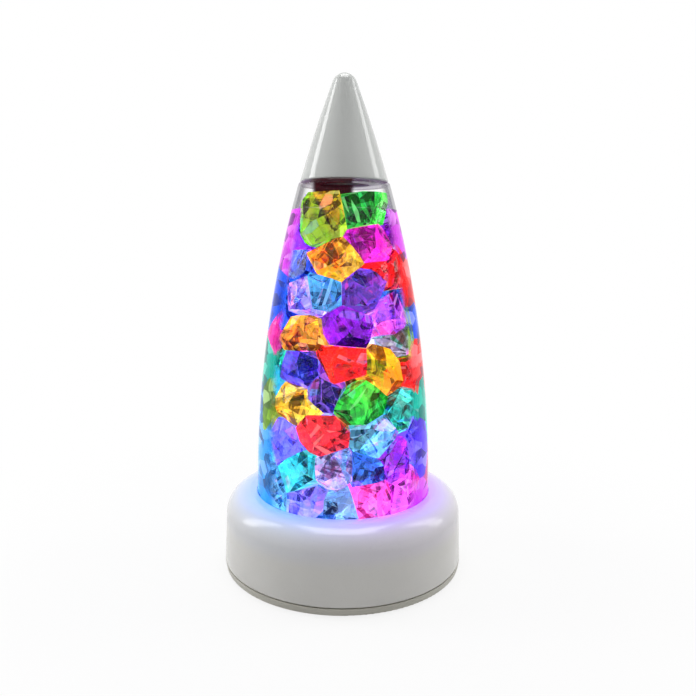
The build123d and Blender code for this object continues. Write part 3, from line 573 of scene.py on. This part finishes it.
# painted shade, dim violet, on the shoulder just under the cap
SHOULDER_PAINTED_SHADE = (0.12, 0.07, 0.15)
SHOULDER_RISES = (-0.0019, -0.0014)  # from the cap's lower edge
SHOULDER_FALLS = (0.0001, 0.0004)
WINE_PAINTED_SHADE = (0.03, 0.002, 0.006)  # painted shade: a dark wine-red patch in the back of the shoulder, under the cap
WINE_MIDDLE = -0.006
WINE_HALF = (0.009, 0.0125)  # half its width, from full to gone
WINE_DEPTH = 0.006  # full from here back
WINE_RISES = (-0.0075, -0.006)  # from the cap's lower edge
WINE_FALLS = (0.0, 0.0004)


def clear_moulding(stones, sizes):
    """Clear wall: almost nothing face on, and at its edges the colours of what it holds painted on as glow,
    with painted shade at its dry edges.

    Its shoulder under the cap has painted shade, a dim violet, with a dark wine-red patch of painted shade
    at the back.
    """
    material, tree = new_material("clear_moulding")
    skin = add_node(
        tree, "ShaderNodeBsdfPrincipled", IOR=PLASTIC_IOR, Roughness=0.04, Specular_IOR_Level=0.08,
        Emission_Strength=RIM_PAINTED_GLOW)
    x, y, z = split_place(tree, object_place(tree))
    wet = fade(tree, z, sizes.water_level - WATERLINE, sizes.water_level + WATERLINE)
    painted_colour = add_mix(tree, wet, DRY_EDGE_PAINTED_SHADE, painted_rim_view(tree, stones, sizes))
    # Painted shade under the cap: a dark wine-red patch at the back, and a dim violet band all round
    aside = add_math(tree, "ABSOLUTE", add_math(tree, "SUBTRACT", x, WINE_MIDDLE))
    middle = fade(tree, aside, *WINE_HALF)
    behind = add_ramp(tree, y, 0.0, WINE_DEPTH)
    under_cap = height_band(tree, z, SHOULDER_Z, WINE_RISES, WINE_FALLS)
    wine_shade = add_math(tree, "MULTIPLY", behind, under_cap, middle)
    shoulder_shade = height_band(tree, z, SHOULDER_Z, SHOULDER_RISES, SHOULDER_FALLS)
    shoulder_shade = add_math(tree, "MAXIMUM", shoulder_shade, wine_shade)
    painted_colour = add_mix(tree, shoulder_shade, painted_colour, add_mix(tree, middle, SHOULDER_PAINTED_SHADE, WINE_PAINTED_SHADE))
    feed(tree, skin, Base_Color=painted_colour, Emission_Color=painted_colour)
    edge = facing_share(tree, start=0.42, full=0.66, most=0.98)
    edge = add_math(tree, "MULTIPLY", edge, add_ramp(tree, wet, 0.0, 1.0, out_low=DRY_EDGE_SHARE))
    flow = add_noise(tree, FLOW_SCALE, detail=3.0)
    haze = add_ramp(tree, flow, low=0.35, high=0.75, out_low=0.004, out_high=0.02)
    cover = add_ramp(tree, middle, 0.0, 1.0, out_low=0.45, out_high=0.92)
    cover = add_math(tree, "MULTIPLY", shoulder_shade, cover)
    see_through(tree, skin, add_math(tree, "MAXIMUM", add_math(tree, "ADD", edge, haze), cover))
    return material


SURFACE_DEPTH = 0.0004
# painted highlight along the water's surface, glowing with the rim
SURFACE_PAINTED_HIGHLIGHT = (0.62, 0.58, 0.72)
SURFACE_SHARE = 0.25


def tinted_water(stones, sizes):
    """Water with the stones' colours painted round its edges as glow, under a painted pale highlight at its
    surface.
    """
    material, tree = new_material("tinted_water")
    skin = add_node(
        tree, "ShaderNodeBsdfPrincipled", IOR=WATER_IOR, Roughness=0.05, Specular_IOR_Level=0.0,
        Emission_Strength=RIM_PAINTED_GLOW)
    z = split_place(tree, object_place(tree))[2]
    surface = add_ramp(tree, z, sizes.water_level - SURFACE_DEPTH, sizes.water_level)
    painted_colour = add_mix(tree, surface, painted_rim_view(tree, stones, sizes), SURFACE_PAINTED_HIGHLIGHT)
    feed(tree, skin, Base_Color=painted_colour, Emission_Color=painted_colour)
    edge = facing_share(tree, start=0.45, full=0.70, most=0.95)
    thinned = add_ramp(tree, surface, 0.0, 1.0, out_low=1.0, out_high=SURFACE_SHARE)
    see_through(tree, skin, add_math(tree, "MULTIPLY", edge, thinned))
    return material


FACET_SHADE = "facet"  # attribute: painted light and shade of each facet
FACET_PLACE = "facet_place"  # flat map of each facet, in metres, turned afresh on every one
FACET_WEIGHT = 1.5
CHUNK_SCALE = 210.0
CHUNK_STRETCH = (1.0, 0.55, 1.0)
CREASE_WIDTH = 0.035
CREASE_WEIGHT = 0.8
STREAK_SCALE = 520.0
STREAK_STRETCH = (0.12, 1.0, 1.0)
SPLINTER_SCALE = 380.0
SPLINTER_STRETCH = (1.0, 0.22, 1.0)
SPLINTER_WEIGHT = 0.7
DARK_BELOW = 1.35
BRIGHT_ABOVE = 2.4
PAINTED_PINK_REFLECTION = (1.0, 0.12, 0.65)
PAINTED_CYAN_REFLECTION = (0.06, 0.65, 0.95)
PALE_LIGHT = (0.8, 0.85, 1.0)
LIGHT_SIDE = 0.03  # the base's light has its left or right colour this far out
FLOOR_LIGHT_HEIGHT = 0.035
FLOOR_LIGHT_SHARE = 0.5
# strength of the painted glow, low down and high up
LOW_STRENGTH = 0.88
HIGH_STRENGTH = 0.68


def flat_cells(tree, place, scale, stretch):
    """Three random values of each cell of a flat pattern."""
    return cell_values(tree, add_cells(tree, place, scale, stretch, flat=True))


def stone_acrylic(name, bright, colours, sizes):
    """Clear tinted acrylic, with splinters of light and dark painted into it, and the base's light from
    below painted in as glow.
    """
    material, tree = new_material("stone_" + name)
    shader = add_node(
        tree, "ShaderNodeBsdfPrincipled", Roughness=0.0, IOR=STONE_IOR, Transmission_Weight=1.0)
    paleness = min(bright)
    painted_dark = tuple(part * part * (0.06 + 0.45 * paleness) for part in bright)
    glare = tuple(0.25 + 0.75 * part for part in bright)

    # Painted light and shade: the facet as a whole, and the chunks, creases, streaks and splinters seen in
    # it
    shade = tree.nodes.new("ShaderNodeAttribute")
    shade.attribute_name = FACET_SHADE
    facet = add_math(tree, "MULTIPLY", shade.outputs["Fac"], FACET_WEIGHT)
    flat = tree.nodes.new("ShaderNodeUVMap")
    flat.uv_map = FACET_PLACE
    place = flat.outputs[0]
    chunk, odd, hue = flat_cells(tree, place, CHUNK_SCALE, CHUNK_STRETCH)
    borders = add_cells(tree, place, CHUNK_SCALE, CHUNK_STRETCH, flat=True)
    borders.feature = "DISTANCE_TO_EDGE"
    crease = add_ramp(tree, borders.outputs["Distance"], 0.0, CREASE_WIDTH, CREASE_WEIGHT, 0.0)
    pale_or_dark = add_ramp(tree, hue, low=0.5, high=0.6, out_low=-1.0)
    crease = add_math(tree, "MULTIPLY", crease, pale_or_dark)
    streak = flat_cells(tree, place, STREAK_SCALE, STREAK_STRETCH)[0]
    splinter = flat_cells(tree, place, SPLINTER_SCALE, SPLINTER_STRETCH)[1]
    splinter = add_math(tree, "MULTIPLY", splinter, SPLINTER_WEIGHT)
    shine = add_math(tree, "ADD", facet, chunk, streak, splinter, crease)
    share = add_ramp(tree, shine, DARK_BELOW, BRIGHT_ABOVE)

    # Colour of the acrylic in painted light and shade, with chunks of painted reflection in the colours of
    # stones next to it
    reflected_from = 0.93 - 0.5 * paleness
    reflected_share = add_ramp(tree, odd, reflected_from, reflected_from + 0.02, out_high=0.25 + 0.6 * paleness)
    neighbour = add_mix(tree, add_ramp(tree, hue, low=0.45, high=0.55), PAINTED_PINK_REFLECTION, PAINTED_CYAN_REFLECTION)
    body = add_mix(tree, share, painted_dark, scaled(bright, 0.95))
    feed(tree, shader, Base_Color=add_mix(tree, reflected_share, body, neighbour))

    # Painted light: glow standing in for the light in the stone, with more of the base's light in it low
    # down
    x, _, z = split_place(tree, object_place(tree))
    glow_top = FLOOR_Z + sizes.glow_height
    low = add_ramp(tree, z, FLOOR_Z, glow_top, out_low=min(0.1 + 1.2 * paleness, 0.8), out_high=0.0)
    floor_light = add_ramp(tree, z, FLOOR_Z, FLOOR_Z + FLOOR_LIGHT_HEIGHT, FLOOR_LIGHT_SHARE, 0.0)
    low = add_math(tree, "MAXIMUM", low, floor_light)
    side = add_ramp(tree, x, -LIGHT_SIDE, LIGHT_SIDE)
    light = add_mix(tree, side, scaled(colours.lamp_left, 0.8), scaled(colours.lamp_right, 0.8))
    light = add_mix(tree, add_ramp(tree, hue, low=0.75, high=0.8, out_high=0.4), light, PALE_LIGHT)
    dim = add_mix(tree, side, scaled(colours.glow_left, 0.1), scaled(colours.glow_right, 0.1))
    glow = add_mix(tree, share, scaled(painted_dark, 0.1), scaled(bright, 0.6))
    glow = add_mix(tree, reflected_share, glow, add_mix(tree, share, BLACK, neighbour))
    lit = add_mix(tree, low, glow, add_mix(tree, share, dim, light))
    # Painted glints on a few streaks and on the brightest worn edges
    glint = add_ramp(tree, streak, low=0.965, high=0.975, out_high=0.7)
    glint = add_math(tree, "MAXIMUM", glint, add_ramp(tree, facet, low=1.6, high=1.9, out_high=0.8))
    strength = add_ramp(tree, z, FLOOR_Z, glow_top, LOW_STRENGTH, HIGH_STRENGTH)
    feed(tree, shader, Emission_Color=add_mix(tree, glint, lit, glare), Emission_Strength=strength)
    finish_material(tree, shader)
    return material


# Modelling helpers: angles in degrees

WELD_DISTANCE = 1e-6
SMOOTH_ANGLE = 32.0
SHELL_SMOOTH_ANGLE = 12.0  # keeps the edges of the rear panel sharp
WATER_SMOOTH_ANGLE = 40.0


def merged_copy(node):
    """Copy of a node's mesh as one welded mesh."""
    work = bmesh.new()
    work.from_mesh(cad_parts[node].data)
    bmesh.ops.remove_doubles(work, verts=work.verts, dist=WELD_DISTANCE)
    return work


def place_piece(work, name, material, body, smooth=None):
    """Object made from a mesh in hand, riding on a body, smooth below an angle."""
    mesh = bpy.data.meshes.new(name)
    work.to_mesh(mesh)
    work.free()
    piece = bpy.data.objects.new(name, mesh)
    bpy.context.scene.collection.objects.link(piece)
    mesh.materials.append(material)
    left_over = mesh.attributes.get("custom_normal")
    if left_over:
        mesh.attributes.remove(left_over)
    mesh.polygons.foreach_set("use_smooth", [bool(smooth)] * len(mesh.polygons))
    if smooth:
        mesh.set_sharp_from_angle(angle=math.radians(smooth))
        weighted = piece.modifiers.new("even_normals", "WEIGHTED_NORMAL")
        weighted.keep_sharp = True
    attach(piece, body)
    return piece


def stand_for(piece, node):
    """Hides the node that a piece stands for."""
    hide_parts(node)


def dress_node(node, name, material, body="base", smooth=SMOOTH_ANGLE):
    """Smooth copy of a node that stands for it."""
    stand_for(place_piece(merged_copy(node), name, material, body, smooth), node)


def lay_facets(work, chance):
    """Flat map on every facet, in metres, each turned and shifted by chance."""
    flat = work.loops.layers.uv.new(FACET_PLACE)
    for face in work.faces:
        along = Matrix.Rotation(chance.random() * math.tau, 3, face.normal) @ face.normal.orthogonal()
        along.normalize()
        across = face.normal.cross(along)
        shift = Vector((chance.random(), chance.random()))
        for corner in face.loops:
            spot = corner.vert.co
            corner[flat].uv = Vector((spot.dot(along), spot.dot(across))) + shift


# Pieces

class LAMP_OT_shell(Operator):
    """White shell of the base, with the light that spills onto it"""

    bl_idname = "lamp.shell"
    bl_label = "Base shell"

    def execute(self, context):
        finish = glowing_shell_plastic(context.scene.lamp_colours, context.scene.lamp_sizes)
        dress_node("base_shell", "shell_skin", finish, smooth=SHELL_SMOOTH_ANGLE)
        return {"FINISHED"}


class LAMP_OT_plate(Operator):
    """Base plate and the battery door in it"""

    bl_idname = "lamp.plate"
    bl_label = "Base plate"

    def execute(self, context):
        finish = moulded_plastic(
            "plate_plastic", context.scene.lamp_colours.plate, roughness=0.45,
            grain=1400.0, relief=0.00005)
        dress_node("base_plate", "plate_skin", finish)
        dress_node("battery_door", "door_skin", finish, "door")
        return {"FINISHED"}


class LAMP_OT_feet(Operator):
    """Rubber feet under the plate"""

    bl_idname = "lamp.feet"
    bl_label = "Feet"

    def execute(self, context):
        finish = soft_rubber("foot_rubber", context.scene.lamp_colours.rubber, roughness=0.7)
        dress_node("rubber_feet", "feet_rubber", finish)
        return {"FINISHED"}


class LAMP_OT_screws(Operator):
    """Screws of the plate, the clamp and the board"""

    bl_idname = "lamp.screws"
    bl_label = "Screws"

    def execute(self, context):
        finish = plated_metal("screw_steel", context.scene.lamp_colours.steel, roughness=0.3)
        for node in ("plate_screws", "clamp_screws", "board_screws"):
            dress_node(node, node + "_steel", finish)
        return {"FINISHED"}


class LAMP_OT_cap(Operator):
    """Pointed cap"""

    bl_idname = "lamp.cap"
    bl_label = "Cap"

    def execute(self, context):
        finish = moulded_plastic("cap_plastic", context.scene.lamp_colours.cap, roughness=0.05)
        dress_node("cap", "cap_skin", finish, "cap")
        return {"FINISHED"}


class LAMP_OT_tank(Operator):
    """Clear tank, its floor, its seals and the ring that clamps it"""

    bl_idname = "lamp.tank"
    bl_label = "Tank"

    def execute(self, context):
        colours = context.scene.lamp_colours
        finish = clear_moulding(context.scene.lamp_stones, context.scene.lamp_sizes)
        dress_node("tank", "tank_wall", finish)
        dress_node("tank_floor", "tank_window", finish)
        seal = soft_rubber("seal_silicone", colours.seal, roughness=0.5)
        dress_node("tank_gasket", "gasket_ring", seal)
        dress_node("neck_seal", "neck_ring", seal)
        inner = moulded_plastic("inner_plastic", colours.inner, roughness=0.5)
        dress_node("clamp_ring", "clamp_skin", inner)
        return {"FINISHED"}


# Section of the water's raised rim: steps in from the wall and up, as shares of the meniscus
MENISCUS_STEPS = ((0.6, 0.25), (1.6, 0.0))


class LAMP_OT_water(Operator):
    """Water in the tank, with its raised rim against the wall"""

    bl_idname = "lamp.water"
    bl_label = "Water"

    def execute(self, context):
        sizes = context.scene.lamp_sizes
        narrowing = TANK_FOOT - sizes.tank_top
        height = SHOULDER_Z - CREST_Z
        curve = (narrowing ** 2 + height ** 2) / (2 * narrowing)
        inset = sizes.tank_wall + sizes.water_gap
        low = FLOOR_Z + sizes.water_gap
        level = sizes.water_level
        creep = sizes.meniscus
        rim = level + creep

        def wall(z):
            rise = max(z - CREST_Z, 0.0)
            return TANK_FOOT - curve + math.sqrt((curve - inset) ** 2 - rise ** 2)

        levels = [low + (rim - low) * step / sizes.side_steps for step in range(sizes.side_steps + 1)]
        outline = [(0.0, low)] + [(wall(z), z) for z in levels]
        outline += [(wall(rim) - creep * inward, level + creep * up) for inward, up in MENISCUS_STEPS]
        outline.append((0.0, level))
        work = bmesh.new()
        points = [work.verts.new((radius, 0.0, z)) for radius, z in outline]
        sides = [work.edges.new(pair) for pair in zip(points, points[1:])]
        bmesh.ops.spin(
            work, geom=points + sides, cent=(0, 0, 0), axis=(0, 0, 1), angle=math.tau,
            steps=sizes.turn_steps, use_merge=True,
        )
        bmesh.ops.remove_doubles(work, verts=work.verts, dist=WELD_DISTANCE)
        bmesh.ops.recalc_face_normals(work, faces=work.faces)
        finish = tinted_water(context.scene.lamp_stones, sizes)
        piece = place_piece(work, "water", finish, "base", WATER_SMOOTH_ANGLE)
        return {"FINISHED"}


CHANCE_SEED = 7
SAME_FACET_ANGLE = 0.3  # degrees: triangles that lie this near to one plane make one facet
WORN_EDGE_PAINTED_LIGHT = 1.5  # painted light and shade of the worn edges: the brightest, where the brightest facet is 1


class LAMP_OT_stones(Operator):
    """Coloured stones in the tank, with worn edges between their facets, and painted light and shade on
    facets and edges
    """

    bl_idname = "lamp.stones"
    bl_label = "Stones"

    def execute(self, context):
        scene = context.scene
        chance = random.Random(CHANCE_SEED)
        for name in LampStones.__annotations__:
            node = "gems_" + name
            work = merged_copy(node)
            bmesh.ops.dissolve_limit(
                work, angle_limit=math.radians(SAME_FACET_ANGLE), verts=work.verts, edges=work.edges)
            shade = work.faces.layers.float.new(FACET_SHADE)
            # Painted light and shade: a random brightness on each facet
            for face in work.faces:
                face[shade] = chance.random()
            worn = bmesh.ops.bevel(
                work, geom=work.edges[:], offset=scene.lamp_sizes.stone_edge, offset_type="OFFSET",
                affect="EDGES", segments=1, profile=0.5, material=-1, clamp_overlap=True,
            )
            # painted light and shade on the worn edges, the brightest of them glinting
            for face in worn["faces"]:
                face[shade] = chance.random() * WORN_EDGE_PAINTED_LIGHT
            work.normal_update()
            lay_facets(work, chance)
            bright = getattr(scene.lamp_stones, name)
            finish = stone_acrylic(name, bright, scene.lamp_colours, scene.lamp_sizes)
            stand_for(place_piece(work, "stones_" + name, finish, "base"), node)
        return {"FINISHED"}


class LAMP_OT_board(Operator):
    """Light board with its lights, chip and switch"""

    bl_idname = "lamp.board"
    bl_label = "Light board"

    def execute(self, context):
        colours = context.scene.lamp_colours
        black = moulded_plastic("chip_plastic", colours.chip, roughness=0.5)
        dress_node("main_board", "board_skin", board_mask(colours))
        dress_node("leds", "led_lenses", lit_lens(colours))
        dress_node("controller_chip", "chip_skin", black)
        dress_node("power_switch", "switch_skin", black)
        return {"FINISHED"}


class LAMP_OT_controls(Operator):
    """Power button and inlet at the rear"""

    bl_idname = "lamp.controls"
    bl_label = "Rear controls"

    def execute(self, context):
        colours = context.scene.lamp_colours
        satin = moulded_plastic("button_plastic", colours.button, roughness=0.4)
        dress_node("power_button", "button_skin", satin, "button")
        nickel = plated_metal("contact_nickel", colours.nickel, roughness=0.28)
        dress_node("power_inlet", "inlet_skin", nickel)
        return {"FINISHED"}


class LAMP_OT_cells(Operator):
    """Battery cells and their contacts"""

    bl_idname = "lamp.cells"
    bl_label = "Cells"

    def execute(self, context):
        colours = context.scene.lamp_colours
        dress_node("batteries", "cell_sleeves", cell_sleeve(colours))
        nickel = plated_metal("spring_nickel", colours.nickel, roughness=0.34)
        dress_node("battery_contacts", "contact_strips", nickel)
        return {"FINISHED"}


# Stage: metres, watts and radians

WHITE = (1, 1, 1, 1)
FLOOR_RADIUS = 4.0
FLOOR_STEPS = 96
FLOOR_GREY = (0.72, 0.72, 0.72, 1)
SHADOW_REACH = (0.10, 0.30)  # the shadow fades out between these distances from the lamp's axis
SHADOW_WHITE = 0.86  # share of plain white near the lamp
ROOM_TURN = (-0.5, 0.8)  # from the front of the room to its back
ROOM_FRONT = 0.12
ROOM_BACK = 0.55
SOFTBOX_AIM = Vector((0, 0, 0.12))
SOFTBOXES = (  # name, place, width, height, power
    ("left_softbox", (-0.70, 0.12, 0.50), 0.22, 0.7, 2.5),
    ("right_softbox", (0.70, 0.14, 0.50), 0.22, 0.7, 1.8),
    ("top_softbox", (0.0, 0.15, 3.0), 2.0, 2.0, 66.0),
)
PHOTO_WIDTH = 696  # pixels
FOCAL_LENGTH = 650.0  # pixels
SENSOR_WIDTH = 36.0  # millimetres
CAMERA_NEAR = 0.01
CAMERA_PLACE = (0, -0.343, 0.1662)
CAMERA_PAN = -0.0069
CAMERA_TILT = 0.142
CAMERA_ROLL = 0.0052


def seen_rays(tree):
    """1 on camera, glossy and transmission rays."""
    path = tree.nodes.new("ShaderNodeLightPath").outputs
    return add_math(
        tree, "MAXIMUM", path["Is Camera Ray"], path["Is Glossy Ray"], path["Is Transmission Ray"])


def add_floor(scene):
    """Wide pale floor that keeps a soft shadow."""
    work = bmesh.new()
    bmesh.ops.create_circle(work, cap_ends=True, segments=FLOOR_STEPS, radius=FLOOR_RADIUS)
    mesh = bpy.data.meshes.new("floor")
    work.to_mesh(mesh)
    work.free()
    floor = bpy.data.objects.new("floor", mesh)
    scene.collection.objects.link(floor)
    material, tree = new_material("floor_paper")
    paper = add_node(tree, "ShaderNodeBsdfDiffuse", Color=FLOOR_GREY)
    white = add_node(tree, "ShaderNodeEmission", Color=WHITE, Strength=1.0)
    x, y, _ = split_place(tree, object_place(tree))
    far = add_ramp(tree, from_axis(tree, x, y), *SHADOW_REACH, SHADOW_WHITE, 1.0)
    share = add_math(tree, "MULTIPLY", seen_rays(tree), far)
    finish_material(tree, mix_shaders(tree, share, paper, white))
    mesh.materials.append(material)


def add_world(scene):
    """Studio round the lamp: white in view, pale behind and beside it, dim in front."""
    world = bpy.data.worlds.new("studio")
    scene.world = world
    world.use_nodes = True
    tree = world.node_tree
    tree.nodes.clear()
    towards = split_place(tree, tree.nodes.new("ShaderNodeTexCoord").outputs["Generated"])
    room = add_node(tree, "ShaderNodeBackground", Color=WHITE)
    feed(tree, room, Strength=add_ramp(tree, towards[1], *ROOM_TURN, ROOM_FRONT, ROOM_BACK))
    white = add_node(tree, "ShaderNodeBackground", Color=WHITE, Strength=1.0)
    mix = mix_shaders(tree, seen_rays(tree), room, white)
    feed(tree, tree.nodes.new("ShaderNodeOutputWorld"), Surface=mix.outputs[0])


def add_softbox(scene, name, place, width, height, power):
    """Soft light aimed at the middle of the lamp."""
    data = bpy.data.lights.new(name, "AREA")
    data.shape = "RECTANGLE"
    data.size = width
    data.size_y = height
    data.energy = power
    light = bpy.data.objects.new(name, data)
    light.location = place
    light.rotation_euler = (SOFTBOX_AIM - light.location).to_track_quat("-Z", "Y").to_euler()
    scene.collection.objects.link(light)


def add_camera(scene):
    """Camera at the photograph's place, tilted down and a little rolled."""
    data = bpy.data.cameras.new("camera")
    data.sensor_width = SENSOR_WIDTH
    data.lens = SENSOR_WIDTH * FOCAL_LENGTH / PHOTO_WIDTH
    data.clip_start = CAMERA_NEAR
    camera = bpy.data.objects.new("camera", data)
    turn = Matrix.Rotation(CAMERA_PAN, 4, "Z") @ Matrix.Rotation(math.pi / 2 - CAMERA_TILT, 4, "X")
    camera.matrix_world = Matrix.Translation(CAMERA_PLACE) @ turn @ Matrix.Rotation(CAMERA_ROLL, 4, "Z")
    scene.collection.objects.link(camera)
    scene.camera = camera


class LAMP_OT_stage(Operator):
    """Floor, studio light and camera"""

    bl_idname = "lamp.stage"
    bl_label = "Stage"

    def execute(self, context):
        scene = context.scene
        scene.view_settings.view_transform = "Standard"
        add_floor(scene)
        add_world(scene)
        for softbox in SOFTBOXES:
            add_softbox(scene, *softbox)
        add_camera(scene)
        return {"FINISHED"}


class LAMP_PT_looks(Panel):
    """Sizes, colours and pieces of the lamp"""

    bl_idname = "LAMP_PT_looks"
    bl_label = "Lamp looks"
    bl_space_type = "VIEW_3D"
    bl_region_type = "UI"
    bl_category = "Lamp"

    def draw(self, context):
        for group in (context.scene.lamp_sizes, context.scene.lamp_colours, context.scene.lamp_stones):
            for name in group.__annotations__:
                self.layout.prop(group, name)
        for operator in OPERATORS:
            self.layout.operator(operator.bl_idname)


OPERATORS = (
    LAMP_OT_shell, LAMP_OT_plate, LAMP_OT_feet, LAMP_OT_screws, LAMP_OT_cap, LAMP_OT_tank, LAMP_OT_water,
    LAMP_OT_stones, LAMP_OT_board, LAMP_OT_controls, LAMP_OT_cells, LAMP_OT_stage,
)
CLASSES = (LampSizes, LampColours, LampStones, *OPERATORS, LAMP_PT_looks)


def register():
    for item in CLASSES:
        bpy.utils.register_class(item)
    bpy.types.Scene.lamp_sizes = PointerProperty(type=LampSizes)
    bpy.types.Scene.lamp_colours = PointerProperty(type=LampColours)
    bpy.types.Scene.lamp_stones = PointerProperty(type=LampStones)


def unregister():
    del bpy.types.Scene.lamp_stones
    del bpy.types.Scene.lamp_colours
    del bpy.types.Scene.lamp_sizes
    for item in reversed(CLASSES):
        bpy.utils.unregister_class(item)


def main():
    register()
    bpy.ops.lamp.shell()
    bpy.ops.lamp.plate()
    bpy.ops.lamp.feet()
    bpy.ops.lamp.screws()
    bpy.ops.lamp.cap()
    bpy.ops.lamp.tank()
    bpy.ops.lamp.water()
    bpy.ops.lamp.stones()
    bpy.ops.lamp.board()
    bpy.ops.lamp.controls()
    bpy.ops.lamp.cells()
    bpy.ops.lamp.stage()


if __name__ == "__main__":
    main()
